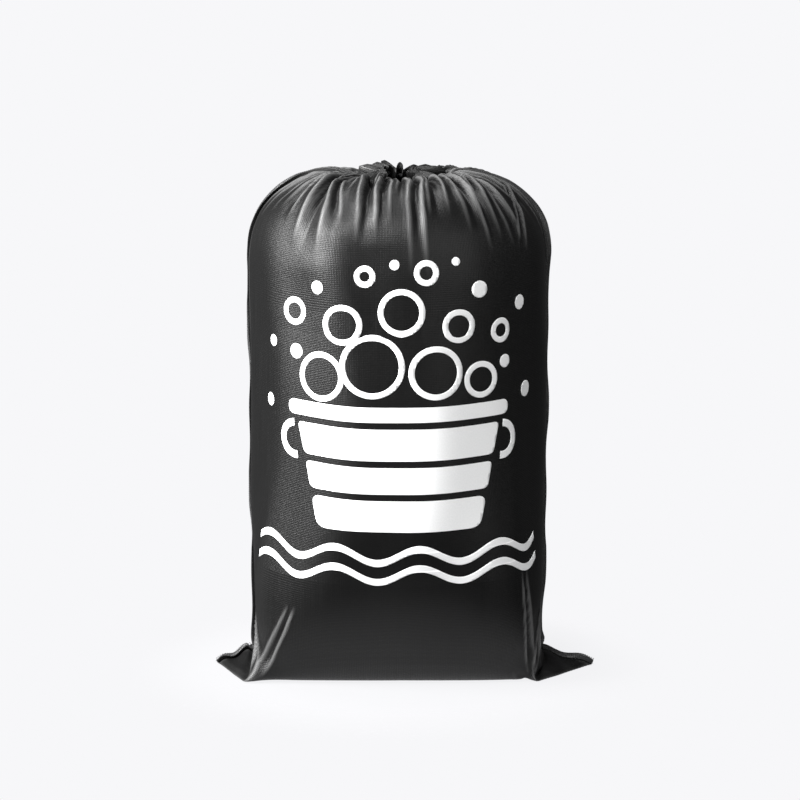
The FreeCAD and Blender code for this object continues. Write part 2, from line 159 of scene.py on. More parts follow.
def folded_place(column, row):
    """Where a point of the grid is when the cloth is folded round the box."""
    across, up, face = panel_place(column, row)
    reach = abs(across)
    hand = 1 if across >= 0 else -1
    over = reach - BOX_HALF
    if over <= 0:
        if up <= BOX_DEPTH:
            return across, face * up, LIE
        return across, face * BOX_DEPTH, up - BOX_DEPTH + LIE
    if over + up <= BOX_DEPTH:
        return across, face * up, LIE
    if up <= BOX_DEPTH:
        rise = LAYER * min(1, (over + up - BOX_DEPTH) / (20 * MM))
        return hand * (BOX_HALF + BOX_DEPTH - up), face * (BOX_DEPTH - over), LIE + rise
    return hand * BOX_HALF, face * (BOX_DEPTH - over), up - BOX_DEPTH + LIE + LAYER


def number_the_grid():
    """Point numbers by row and column. The bottom row is shared by front and back."""
    numbers = np.zeros((TOP_ROW + 1, ROUND), dtype=int)
    count = 0
    for row in range(TOP_ROW + 1):
        for column in range(ROUND):
            if row == 0 and column > ACROSS:
                numbers[row, column] = numbers[row, ROUND - column]
                continue
            numbers[row, column] = count
            count += 1
    return numbers, count


NUMBERS, POINT_COUNT = number_the_grid()
print(f"{POINT_COUNT} points in the cloth")

# %% [markdown]
# ## The mouth
#
# Drawing the cord shut pleats the tunnel. The pleats are uneven, because hands pulled
# them. Each pleat is a wave in and out of the ring, deep enough to take up its cloth.
# The whole ring leans to the front, and its front edge dips.

# %% Shape of the drawn mouth
PLEATS = 16
MOUTH_AT = Vector((0.0, -45 * MM, 622 * MM))
MOUTH_HALF = (40 * MM, 31 * MM)
MOUTH_LEAN = math.radians(19)
CLOTH_PER_REACH = 4.3
DIP = 13 * MM
DIP_OUT = 9 * MM

pleat_draw = np.random.default_rng(11)
pleat_shares = pleat_draw.uniform(0.5, 1.5, PLEATS)
PLEAT_EDGES = np.concatenate([[0.0], np.cumsum(pleat_shares / pleat_shares.sum())])


def mouth_place(turn, up, reach=1.0, out=0.0):
    """A point of the tunnel: turn 0 to 1 round the ring, up in metres from its sill."""
    turn = turn % 1.0
    pleat = min(int(np.searchsorted(PLEAT_EDGES, turn, side="right")) - 1, PLEATS - 1)
    share = PLEAT_EDGES[pleat + 1] - PLEAT_EDGES[pleat]
    phase = (turn - PLEAT_EDGES[pleat]) / share
    swing = share * 2 * PANEL_WIDTH / CLOTH_PER_REACH * math.cos(2 * math.pi * phase) * reach
    angle = math.pi + 2 * math.pi * turn
    narrow = 4 * MM * up / TUNNEL
    x = (MOUTH_HALF[0] + out + swing - narrow) * math.cos(angle)
    y = (MOUTH_HALF[1] + out + swing - narrow) * math.sin(angle)
    front = max(0.0, -math.sin(angle + 0.15)) ** 5
    y -= DIP_OUT * front
    z = 0.75 * up + 3 * MM * math.sin(3 * angle + 1) - DIP * front
    tilted = (
        y * math.cos(MOUTH_LEAN) - z * math.sin(MOUTH_LEAN),
        y * math.sin(MOUTH_LEAN) + z * math.cos(MOUTH_LEAN),
    )
    return MOUTH_AT.x + x, MOUTH_AT.y + tilted[0], MOUTH_AT.z + tilted[1]


widest = 2 * PANEL_WIDTH * max(np.diff(PLEAT_EDGES))
print(f"{PLEATS} pleats, the widest takes {1000 * widest:.0f} mm")

# %% [markdown]
# ## The washing inside
#
# The load is soft too, but only its outline shows. At the floor it is nearly the folded
# box, higher up it is round, and on top it is a dome with a hollow under the mouth. Its
# sections are superellipses: a circle at power 2, almost a box at power 5.5. It is a
# little flatter behind, where a mouth that leans to the front leaves less cloth.

# %% Shape of the load
LOAD_RADIUS = 186.5 * MM
LOAD_FOOT = (180 * MM, 96 * MM)
LOAD_FOOT_POWER = 5.5
LOAD_LIFT = 6 * MM
ROUND_BY = 260 * MM
SHOULDER = 524 * MM
DOME = 120 * MM
DOME_POWER = 3.0
HOLLOW = (58 * MM, 50 * MM, 50 * MM)
BACK_DEPTH = 0.85
BACK_REACH = 150 * MM
BACK_DOME = 0.70
BACK_POWER = 2.4
LOAD_SPOKES = 96


def smooth_step(values, low=0.0, high=1.0):
    """0 below low, 1 above high, and an even rise between."""
    part = np.clip((values - low) / (high - low), 0, 1)
    return part * part * (3 - 2 * part)


def load_section(height):
    """Half width, half depth and power of the load's section."""
    part = smooth_step(height / ROUND_BY)
    swell = math.sin(math.pi / 2 * min(1.0, height / 240 / MM)) ** 0.75 if height > 0 else 0.0
    wide = LOAD_FOOT[0] + (LOAD_RADIUS - LOAD_FOOT[0]) * part
    deep = LOAD_FOOT[1] + (LOAD_RADIUS - LOAD_FOOT[1]) * swell
    return wide, deep, LOAD_FOOT_POWER + (2 - LOAD_FOOT_POWER) * part**0.6


def load_rings():
    """Half width, half depth, power and height of each ring, from the floor to the top."""
    rings = []
    for share in (0.001, 0.4, 0.8, 0.93, 0.98):
        wide, deep, power = load_section(0)
        rings.append((wide * share, deep * share, power, LOAD_LIFT))
    for step in np.linspace(0, 1, 16):
        height = (SHOULDER - LOAD_LIFT) * step**1.7
        rings.append((*load_section(height), height + LOAD_LIFT))
    for step in np.linspace(0, 1, 22)[1:]:
        lean = step * math.pi / 2
        reach = LOAD_RADIUS * max(0.001, math.cos(lean)) ** (2 / DOME_POWER)
        rings.append((reach, reach, 2.0, SHOULDER + DOME * math.sin(lean) ** (2 / DOME_POWER)))
    return rings


def load_points():
    """The points of the load, ring by ring."""
    points = []
    for wide, deep, power, height in load_rings():
        for spoke in range(LOAD_SPOKES):
            angle = 2 * math.pi * spoke / LOAD_SPOKES
            cosine, sine = math.cos(angle), math.sin(angle)
            bend = power if sine <= 0 else max(power, 2 + (BACK_POWER - 2) * smooth_step(4 * sine))
            size = (abs(cosine) ** bend + abs(sine) ** bend) ** (-1 / bend)
            x, y, z = wide * cosine * size, deep * sine * size, height
            if y > 0:
                y *= 1 - (1 - BACK_DEPTH) * smooth_step(height / ROUND_BY)
                behind = smooth_step(y / BACK_REACH)
                z -= (1 - BACK_DOME) * behind * max(0.0, height - SHOULDER)
            if height > SHOULDER:
                away = ((x - MOUTH_AT.x) / HOLLOW[0]) ** 2 + ((y - MOUTH_AT.y) / HOLLOW[1]) ** 2
                z -= HOLLOW[2] * math.exp(-(away**1.5))
            points.append((x, y, z))
    return np.array(points)


def grid_faces(rows, columns, closed=False):
    """Four-sided faces over a grid of points, closed into a tube if asked."""
    points = np.arange(rows * columns).reshape(rows, columns)
    if closed:
        points = np.concatenate([points, points[:, :1]], axis=1)
    corners = [points[:-1, :-1], points[:-1, 1:], points[1:, 1:], points[1:, :-1]]
    return np.stack(corners, axis=-1).reshape(-1, 4)


LOAD_POINTS = load_points()
LOAD_FACES = grid_faces(len(LOAD_POINTS) // LOAD_SPOKES, LOAD_SPOKES, closed=True)
print(f"load: {len(LOAD_POINTS)} points, {LOAD_POINTS[:, 2].max():.3f} m high")

# %% [markdown]
# ## Filling the bag
#
# As with a real bag, the washing goes in first. The load swells from a small box to its
# full shape and pushes the cloth out. Only then does a shape key draw the pinned tunnel
# shut and lay the ears down: drawn earlier, the mouth pulls the cloth through the load. A
# little pressure keeps loose cloth puffed, apart from the ears and the tunnel.

# %% Helpers for the simulation
EAR_TIPS = {-1: (-239 * MM, -6 * MM), 1: (257 * MM, -14 * MM)}
FOOT_CORNERS = {
    (-1, -1): (-194 * MM, -110 * MM),
    (1, -1): (172 * MM, -109 * MM),
    (1, 1): (184 * MM, 112 * MM),
    (-1, 1): (-190 * MM, 112 * MM),
}
EAR_PUFF = 13 * MM
LAST_FRAME = 46
SHUT_FROM = 11
SHUT_BY = 33
FULL_BY = 14


def add_mesh(name, points, faces):
    """A new mesh object at the origin."""
    mesh = bpy.data.meshes.new(name)
    mesh.from_pydata([tuple(point) for point in points], [], [list(face) for face in faces])
    mesh.update()
    made = bpy.data.objects.new(name, mesh)
    bpy.context.collection.objects.link(made)
    return made


def key_over(block, first, last):
    """Bring a shape key in evenly from its first frame to its last."""
    block.value = 0.0
    block.keyframe_insert("value", frame=first)
    block.value = 1.0
    block.keyframe_insert("value", frame=last)
    for curve in block.id_data.animation_data.action.fcurves:
        for point in curve.keyframe_points:
            point.interpolation = "LINEAR"


def ear_place(column, row):
    """Where a point of an ear ends, or None. The ear is a flat, slightly puffed triangle."""
    across, up, face = panel_place(column, row)
    hand = 1 if across >= 0 else -1
    over = abs(across) - BOX_HALF
    if over < -0.25 * COLUMN or up > BOX_DEPTH + 1 * MM:
        return None
    under = over + up <= BOX_DEPTH
    out = (over if under else BOX_DEPTH - up) / BOX_DEPTH
    side = face * (up if under else BOX_DEPTH - over) / BOX_DEPTH
    out, side = max(0.0, out), max(-1.0, min(1.0, side))
    tip = Vector(EAR_TIPS[hand])
    front = Vector(FOOT_CORNERS[hand, -1])
    back = Vector(FOOT_CORNERS[hand, 1])
    rest = max(0.0, 1 - out)
    place = tip * out + front * (rest - side) / 2 + back * (rest + side) / 2
    edge = max(0.0, rest - abs(side))
    wave = 1 + 0.5 * math.sin(9 * out + 4 * side * hand) * math.sin(5 * side + 2)
    puff = 0 if under else LAYER * min(1, 6 * edge) + EAR_PUFF * edge * wave
    return place.x, place.y, LIE + puff


def pinned_places():
    """Where the pinned points end: the tunnel and the two ears."""
    places = {}
    for row in range(SILL_ROW, TOP_ROW + 1):
        for column in range(ROUND):
            up = ROWS[row] - ROWS[SILL_ROW]
            places[int(NUMBERS[row, column])] = mouth_place(column / ROUND, up)
    for row in range(SILL_ROW):
        for column in range(ROUND):
            place = ear_place(column, row)
            if place:
                places[int(NUMBERS[row, column])] = place
    return places


def puff_at(column, row):
    """How much pressure a point feels: none on the ears and the tunnel."""
    across, up, face = panel_place(column, row)
    from_corner = math.hypot(abs(across) - PANEL_WIDTH / 2, up)
    ear = min(1.0, max(0.0, (from_corner - 120 * MM) / (80 * MM)))
    mouth = min(1.0, max(0.0, (PANEL_LENGTH - up) / (100 * MM)))
    return ear * mouth


print("pinned points:", len(pinned_places()))

# %% Build the cloth, the load and the floor
def add_cloth():
    """The folded bag, with its shape keys, pins and pressure weights."""
    points = np.zeros((POINT_COUNT, 3))
    for row in range(TOP_ROW + 1):
        for column in range(ROUND):
            if row > 0 or column <= ACROSS:
                points[NUMBERS[row, column]] = folded_place(column, row)
    quads = np.stack(
        [
            NUMBERS[:-1],
            np.roll(NUMBERS[:-1], -1, axis=1),
            np.roll(NUMBERS[1:], -1, axis=1),
            NUMBERS[1:],
        ],
        axis=-1,
    )
    bag = add_mesh("bag_cloth", points, quads.reshape(-1, 4))
    bag.shape_key_add(name="Basis")
    drawn = bag.shape_key_add(name="drawn")
    bag.shape_key_add(name="sewn")
    places = pinned_places()
    for number, place in places.items():
        drawn.data[number].co = place
    key_over(drawn, SHUT_FROM, SHUT_BY)
    pins = bag.vertex_groups.new(name="pins")
    pins.add(list(places), 1.0, "REPLACE")
    under = (abs(points[:, 0]) < 130 * MM) & (abs(points[:, 1]) < 70 * MM) & (points[:, 2] < 3 * MM)
    pins.add([int(number) for number in np.flatnonzero(under)], 1.0, "REPLACE")
    puff = bag.vertex_groups.new(name="puff")
    for row in range(TOP_ROW + 1):
        for column in range(ROUND):
            puff.add([int(NUMBERS[row, column])], puff_at(column, row), "REPLACE")
    return bag


def add_collision(thing, friction, inner=5 * MM):
    """Make a mesh something that cloth can't pass through."""
    thing.modifiers.new("Collision", "COLLISION")
    thing.collision.thickness_outer = 1 * MM
    thing.collision.thickness_inner = inner
    thing.collision.cloth_friction = friction


def add_load():
    """The load, which grows from inside the folded box to its full shape."""
    load = add_mesh("load", LOAD_POINTS, LOAD_FACES)
    small = (BOX_HALF - 14 * MM, BOX_DEPTH - 14 * MM)
    load.shape_key_add(name="Basis")
    full = load.shape_key_add(name="full")
    start = load.data.shape_keys.key_blocks["Basis"]
    for number, (x, y, z) in enumerate(LOAD_POINTS):
        full.data[number].co = (x, y, z)
        place = (x * small[0] / LOAD_RADIUS, y * small[1] / LOAD_RADIUS, 0.9 * z + LIE)
        start.data[number].co = place
    key_over(full, 1, FULL_BY)
    add_collision(load, friction=5, inner=50 * MM)
    return load


def add_ground():
    """A flat floor for the cloth to lie on."""
    ground = add_mesh("ground", [(-1, -1, 0), (1, -1, 0), (1, 1, 0), (-1, 1, 0)], [(0, 1, 2, 3)])
    add_collision(ground, friction=5)
    return ground


# %% Run the simulation
def set_up_cloth(bag):
    """Thin, crisp cloth: it hardly stretches, and it bends in small sharp folds."""
    modifier = bag.modifiers.new("Cloth", "CLOTH")
    cloth = modifier.settings
    cloth.quality = 8
    cloth.mass = 0.02
    cloth.air_damping = 1.0
    cloth.tension_stiffness = 30
    cloth.compression_stiffness = 30
    cloth.shear_stiffness = 18
    cloth.bending_model = "ANGULAR"
    cloth.bending_stiffness = 3.0
    cloth.tension_damping = 5
    cloth.compression_damping = 5
    cloth.shear_damping = 5
    cloth.bending_damping = 0.5
    cloth.use_pressure = True
    cloth.uniform_pressure_force = 3.0
    cloth.vertex_group_pressure = "puff"
    cloth.vertex_group_mass = "pins"
    cloth.pin_stiffness = 1.0
    cloth.rest_shape_key = bag.data.shape_keys.key_blocks["sewn"]
    cloth.effector_weights.gravity = 0.02
    touch = modifier.collision_settings
    touch.collision_quality = 2
    touch.distance_min = 2 * MM
    touch.use_self_collision = True
    touch.self_distance_min = 2.5 * MM
    touch.self_friction = 2
    modifier.point_cache.frame_start = 1
    modifier.point_cache.frame_end = LAST_FRAME


def fill_the_bag():
    """Simulate, and return the finished place of every grid point, row by row."""
    bag = add_cloth()
    props = [add_load(), add_ground()]
    set_up_cloth(bag)
    for number in range(1, LAST_FRAME + 1):
        bpy.context.scene.frame_set(number)
    result = bag.evaluated_get(bpy.context.evaluated_depsgraph_get())
    points = np.zeros(POINT_COUNT * 3)
    result.data.vertices.foreach_get("co", points)
    for thing in [bag] + props:
        bpy.data.objects.remove(thing, do_unlink=True)
    bpy.context.scene.frame_set(1)
    return points.reshape(-1, 3)[NUMBERS]


CLOTH = fill_the_bag()
print("cloth box:", CLOTH.reshape(-1, 3).min(0).round(3), CLOTH.reshape(-1, 3).max(0).round(3))

# %% [markdown]
# ## Reading the finished cloth
#
# Everything that is sewn or printed on the bag has to follow the cloth, folds and all.
# So the simulated grid becomes a smooth surface, a cubic B-spline, which gives the place
# and the outward direction for any spot on the flat pattern.

# %% A smooth surface through a grid of points
SETTLE = 1.6 * MM
ON_FLOOR = 0.6 * MM


def unit(vectors):
    """Vectors at length one."""
    return vectors / np.maximum(np.linalg.norm(vectors, axis=-1, keepdims=True), 1e-12)


def spline_shares(part):
    """Shares and slopes of the four control points round a spot."""
    rest = 1 - part
    shares = [
        rest**3 / 6,
        (3 * part**3 - 6 * part**2 + 4) / 6,
        (-3 * part**3 + 3 * part**2 + 3 * part + 1) / 6,
        part**3 / 6,
    ]
    slopes = [
        -(rest**2) / 2,
        (3 * part**2 - 4 * part) / 2,
        (-3 * part**2 + 2 * part + 1) / 2,
        part**2 / 2,
    ]
    return shares, slopes


def smooth_surface(grid, heights):
    """A function from girth and height on the flat cloth to place, normal and direction."""
    columns = grid.shape[1]
    step = 2 * PANEL_WIDTH / columns
    below = grid[1][(-np.arange(columns)) % columns]
    net = np.concatenate([below[None], grid, (2 * grid[-1] - grid[-2])[None]])

    def surface_at(girth, up):
        girth, up = np.broadcast_arrays(np.asarray(girth, float), np.asarray(up, float))
        column = girth / step
        row = np.interp(up, heights, np.arange(len(heights)))
        row = np.clip(row, 0, len(heights) - 1 - 1e-9)
        first_column = np.floor(column).astype(int)
        first_row = np.floor(row).astype(int)
        column_shares, column_slopes = spline_shares(column - first_column)
        row_shares, row_slopes = spline_shares(row - first_row)
        place = np.zeros(girth.shape + (3,))
        along = np.zeros_like(place)
        upward = np.zeros_like(place)
        for i in range(4):
            for j in range(4):
                point = net[first_row + i, (first_column + j - 1) % columns]
                place += point * (row_shares[i] * column_shares[j])[..., None]
                along += point * (row_shares[i] * column_slopes[j])[..., None]
                upward += point * (row_slopes[i] * column_shares[j])[..., None]
        return place, unit(np.cross(along, upward)), unit(along)

    return surface_at


# %% [markdown]
# ## Ironing out the puckers, and adding the folds
#
# Where tight cloth has slipped into the load, it is first pushed back out. A grid this
# coarse also buckles at its own spacing, into little puckers that real taffeta is too
# springy to keep. They are averaged away, but not at the corners of the foot and not in
# the tunnel. Then come the folds that a hand-drawn bag really has: valleys that run out
# from the mouth, steep on one side, each with a sharp ridge beside it.

# %% Iron the cloth
PUCKER_ACROSS = 2.6
BODY_ACROSS = 3.64
BODY_UP = 3.0
EDGE_ACROSS = 5.2
CORNER_KEPT = (0.135, 0.20)
CROWN_FROM = (0.55, 0.62)
BODY_TO = (0.55, 0.66)
FOOT_TO = (0.17, 0.20)
LOAD_CORE = 450 * MM
LOAD_GAP = 2 * MM


def averaged(values, reach, axis):
    """A Gaussian average over the grid: the girth wraps round, the height doesn't."""
    half = int(math.ceil(3 * reach))
    total = np.zeros_like(values)
    weight = 0.0
    for shift in range(-half, half + 1):
        share = math.exp(-0.5 * (shift / reach) ** 2)
        if axis == 1:
            moved = np.roll(values, shift, axis=1)
        else:
            moved = values[np.clip(np.arange(len(values)) + shift, 0, len(values) - 1)]
        total += moved * share
        weight += share
    return total / weight


def ironed(grid):
    """The grid without its small puckers."""
    girth = np.arange(ROUND) * COLUMN
    across = np.where(girth <= PANEL_WIDTH, girth - PANEL_WIDTH / 2, 1.5 * PANEL_WIDTH - girth)
    corner = np.hypot(np.abs(across)[None] - PANEL_WIDTH / 2, ROWS[:, None])
    away = smooth_step(corner, *CORNER_KEPT)
    flat = averaged(grid, PUCKER_ACROSS, 1)
    flatter = averaged(averaged(flat, BODY_ACROSS, 1), BODY_UP, 0)

    def blend(grid, target, rise, fall):
        band = smooth_step(ROWS, *rise) * (1 - smooth_step(ROWS, *fall))
        return grid + (target - grid) * (band[:, None] * away)[..., None]

    grid = blend(grid, flat, CROWN_FROM, (MOUTH_SILL - 0.04, MOUTH_SILL))
    level = averaged(grid, EDGE_ACROSS, 1)
    grid = blend(grid, level, (BOX_DEPTH - 0.03, BOX_DEPTH - 0.01), FOOT_TO)
    return blend(grid, flatter, (BOX_DEPTH + 0.012, BOX_DEPTH + 0.06), BODY_TO)


def clear_of_the_load(grid):
    """Push any cloth that the simulation let into the load back out of it."""
    load = BVHTree.FromPolygons([Vector(point) for point in LOAD_POINTS], LOAD_FACES.tolist())
    grid = grid.copy()
    count = 0
    for row in range(int(np.searchsorted(ROWS, BOX_DEPTH + 20 * MM)), SILL_ROW - 3):
        for column in range(ROUND):
            place = Vector(grid[row, column])
            middle = Vector((0, 0, min(place.z, LOAD_CORE)))
            away = place - middle
            found = load.ray_cast(middle, away.normalized())
            if found[0] and found[3] + LOAD_GAP > away.length:
                grid[row, column] = middle + away.normalized() * (found[3] + LOAD_GAP)
                count += 1
    print(f"{count} points pushed out of the load")
    return grid


def settled(grid):
    """The cloth let down on to the floor."""
    grid = grid.copy()
    grid[..., 2] = np.maximum(grid[..., 2] - SETTLE, ON_FLOOR)
    return grid


ironed_grid = ironed(settled(clear_of_the_load(CLOTH)))
coarse_surface = smooth_surface(ironed_grid, ROWS)
moved = np.linalg.norm(ironed_grid - CLOTH, axis=-1)
print(f"ironing moved the cloth by {1000 * moved.mean():.1f} mm on average")

# %% Folds, in millimetres: across and up at both ends, half width and depth
# The random rows say: seed, count, top, bottom, half width and depth.
SMALL_FOLDS = (5, 26, (868, 880), (745, 840), 6, 4)
FINE_FOLDS = (21, 44, (858, 884), (690, 850), 3.2, 1.6)
BACK_FOLDS = (8, 17, (800, 870), (655, 730), 12, 9)
BACK_SMALL_FOLDS = (9, 26, (868, 880), (745, 840), 6, 4)
FRONT_FOLDS = [
    (-160, 790, -141, 664, 24, 10),
    (-205, 800, -192, 700, 13, -7),
    (-238, 830, -240, 705, 10, -6),
    (-268, 820, -276, 690, 9, 5),
    (-105, 850, -47, 680, 15, 12),
    (-122, 780, -94, 698, 12, -5),
    (-50, 868, -24, 700, 11, 7),
    (8, 862, 6, 730, 9, 4),
    (52, 840, 31, 640, 13, -6),
    (96, 868, 60, 705, 14, 9),
    (120, 876, 190, 770, 15, 11),
    (142, 830, 117, 690, 11, -7),
    (188, 830, 140, 668, 12, 8),
    (205, 820, 190, 662, 11, -7),
    (236, 830, 226, 695, 10, 6),
    (264, 810, 286, 655, 10, 6),
    (240, 745, 195, 655, 9, -4),
]
FOOT_FOLDS = [
    (-142, 205, -190, 108, 13, -4),
    (-232, 180, -197, 112, 10, 5),
    (172, 235, 191, 108, 13, 5),
    (226, 200, 198, 112, 11, 5),
]
FOLD_SHAPE = ((-1.35, 0.0), (-0.75, 0.45), (0.0, -1.0), (0.5, 0.6), (0.8, 0.25), (1.3, 0.0))
NET_ACROSS = 2 * 76
NET_COLUMN = PANEL_WIDTH / NET_ACROSS
NET_ZONES = ((0.25, 5), (0.57, 12), (PANEL_LENGTH, 4.2))
HOOP_REACH = 8
OUTWARD_REACH = 4
OUTWARD = 10 * MM
SLIGHT = 1 * MM
FLAT_SEAM = 20 * MM


def net_heights():
    """Heights of the fine net, closest in the crown."""
    heights = [0.0]
    for top, step in NET_ZONES:
        count = round((top - heights[-1]) / (step * MM * COARSE))
        heights += list(np.linspace(heights[-1], top, count + 1)[1:])
    return np.array(heights)


def random_folds(seed, count, top, bottom, width, depth):
    """Folds spread evenly across a panel, each a little different."""
    draw = np.random.default_rng(seed)
    folds = []
    for number in range(count):
        across = (number + draw.uniform(0.1, 0.9)) / count * 2 - 1
        across *= PANEL_WIDTH / MM / 2 - 12
        lean = draw.uniform(-18, 18)
        side = draw.choice((-1, 1))
        size = draw.uniform(0.6, 1.2)
        low = draw.uniform(*bottom)
        high = draw.uniform(*top)
        folds.append((across, high, across + lean, low, width * size, side * depth * size))
    return folds


def fold_depth(across, up, squeeze, folds):
    """How far the folds push the cloth in or out, in metres."""
    x = across * np.interp(up, *squeeze)
    total = np.zeros_like(x)
    reaches, heights = zip(*FOLD_SHAPE)
    for x0, y0, x1, y1, half_width, depth in folds:
        x0 *= np.interp(y0 * MM, *squeeze) * MM
        x1 *= np.interp(y1 * MM, *squeeze) * MM
        y0, y1 = y0 * MM, y1 * MM
        length = math.hypot(x1 - x0, y1 - y0)
        ahead = ((x1 - x0) / length, (y1 - y0) / length)
        edge = 0.2 * length + 2 * half_width * MM
        near = (up > min(y0, y1) - edge) & (up < max(y0, y1) + edge)
        near &= (x > min(x0, x1) - edge) & (x < max(x0, x1) + edge)
        part = ((x[near] - x0) * ahead[0] + (up[near] - y0) * ahead[1]) / length
        beside = (x[near] - x0) * ahead[1] - (up[near] - y0) * ahead[0]
        beside = beside * (1 if depth > 0 else -1)
        wide = half_width * MM * (0.55 + 0.75 * np.clip(part, 0, 1))
        fade = smooth_step(part, -0.18, 0.22) * (1 - smooth_step(part, 0.35, 1.08))
        height = np.interp(beside / wide, reaches, heights, left=0, right=0)
        total[near] += abs(depth) * MM * fade * height
    return total


def soft_swell(across, up):
    """Broad, low swells down the body, where the load presses unevenly."""
    swell = 2.45 + 1.4 * np.sin(across / (17 * MM) + 1.3 * np.sin(up / (95 * MM)))
    swell += 1.12 * np.sin(across / (29 * MM) + 2.1 + up / (210 * MM))
    swell += 0.77 * np.sin(up / (52 * MM) + across / (60 * MM))
    return swell * MM * smooth_step(up, 0.13, 0.24) * (1 - smooth_step(up, 0.62, 0.74))


# %% The cloth with its folds
def fold_the_cloth():
    """A function like coarse_surface, for the ironed cloth with every fold pressed into it."""
    heights = net_heights()
    girths = np.arange(2 * NET_ACROSS) * NET_COLUMN
    place, normal, along = coarse_surface(*np.meshgrid(girths, heights))
    steps = np.diff(averaged(place, HOOP_REACH, 1), axis=1)
    hoops = np.linalg.norm(steps, axis=-1).mean(axis=1) / NET_COLUMN
    squeeze = (heights, np.clip(hoops, 0.12, 1.0))
    inner = smooth_surface(place, heights)
    outer = smooth_surface(place + unit(averaged(normal, OUTWARD_REACH, 1)) * OUTWARD, heights)
    front_folds = FRONT_FOLDS + FOOT_FOLDS + random_folds(*SMALL_FOLDS) + random_folds(*FINE_FOLDS)
    back_folds = random_folds(*BACK_FOLDS) + random_folds(*BACK_SMALL_FOLDS) + FOOT_FOLDS

    def folded_place(girth, up):
        girth = girth % (2 * PANEL_WIDTH)
        front = girth <= PANEL_WIDTH
        across = np.where(front, girth - PANEL_WIDTH / 2, 1.5 * PANEL_WIDTH - girth)
        depth = np.zeros(girth.shape)
        for side, folds in ((front, front_folds), (~front, back_folds)):
            depth[side] = fold_depth(across[side], up[side], squeeze, folds)
        depth *= 1 - smooth_step(up, MOUTH_SILL - 0.012, MOUTH_SILL - 0.002)
        depth += soft_swell(across, up)
        depth *= smooth_step(PANEL_WIDTH / 2 - abs(across), 0.0, FLAT_SEAM)
        base = inner(girth, up)[0]
        made = base + unit(outer(girth, up)[0] - base) * depth[..., None]
        made[..., 2] = np.maximum(made[..., 2], ON_FLOOR)
        return made

    def folded_at(girth, up):
        girth, up = np.broadcast_arrays(np.asarray(girth, float), np.asarray(up, float))
        girth, up = np.array(girth), np.array(up)
        here = folded_place(girth, up)
        along = unit(folded_place(girth + SLIGHT, up) - folded_place(girth - SLIGHT, up))
        upward = folded_place(girth, up + SLIGHT) - folded_place(girth, np.maximum(up - SLIGHT, 0))
        return here, unit(np.cross(along, upward)), along

    return folded_at


cloth_at = fold_the_cloth()
middle_rows = np.linspace(BOX_DEPTH, MOUTH_SILL, 200)
middle_line = coarse_surface(np.full(200, PANEL_WIDTH / 2), middle_rows)[0]
print(f"front middle: y = {middle_line[:, 1].min():.3f}, top z = {middle_line[:, 2].max():.3f}")

# %% [markdown]
# ## Materials
#
# A colour is written as designers write it, in sRGB hex, and one function turns it into
# the linear values that light works in. Another adds a shader node with its settings and
# its links, so that each material below reads as a short list.

# %% Colour and node helpers
def linear(hex_colour):
    """An sRGB hex colour as linear red, green, blue and alpha."""
    values = [int(hex_colour[i : i + 2], 16) / 255 for i in (1, 3, 5)]
    light = [v / 12.92 if v <= 0.04045 else ((v + 0.055) / 1.055) ** 2.4 for v in values]
    return (*light, 1.0)


def add_node(tree, kind, settings=None, inputs=None):
    """A node with its settings, and values or links for its inputs."""
    node = tree.nodes.new(kind)
    for name, value in (settings or {}).items():
        setattr(node, name, value)
    for name, value in (inputs or {}).items():
        if isinstance(value, bpy.types.NodeSocket):
            tree.links.new(value, node.inputs[name])
        else:
            node.inputs[name].default_value = value
    return node


def new_material(name):
    """An empty material, its node tree and its output node."""
    material = bpy.data.materials.new(name)
    material.use_nodes = True
    tree = material.node_tree
    tree.nodes.clear()
    return material, tree, tree.nodes.new("ShaderNodeOutputMaterial")


# %% [markdown]
# ### Black polyester taffeta
#
# Taffeta is a plain weave of smooth filament yarn. It is nearly black, but its sheen is
# broad and silky, and it turns grey where light grazes a fold. The real yarns are 0.2 mm
# apart, too fine to show, so the weave is drawn at 2.2 mm, with a soft grain of 2.6 mm
# that breaks it up. Long streaks in the roughness are the uneven yarns that give taffeta
# its slightly brushed look. Sharp outward folds and the sewn edges get a painted highlight:
# the ridge attribute mixes their colour towards a paler grey.

# %% Taffeta
WEAVE = 2.2 * MM
WAVE_PERIOD = 2 * math.pi / 20
GRAIN = 2.6 * MM
SLUB_WIDTH = 3 * MM
SLUB_LENGTH = 90 * MM
SLUB_GLOSS = 0.08


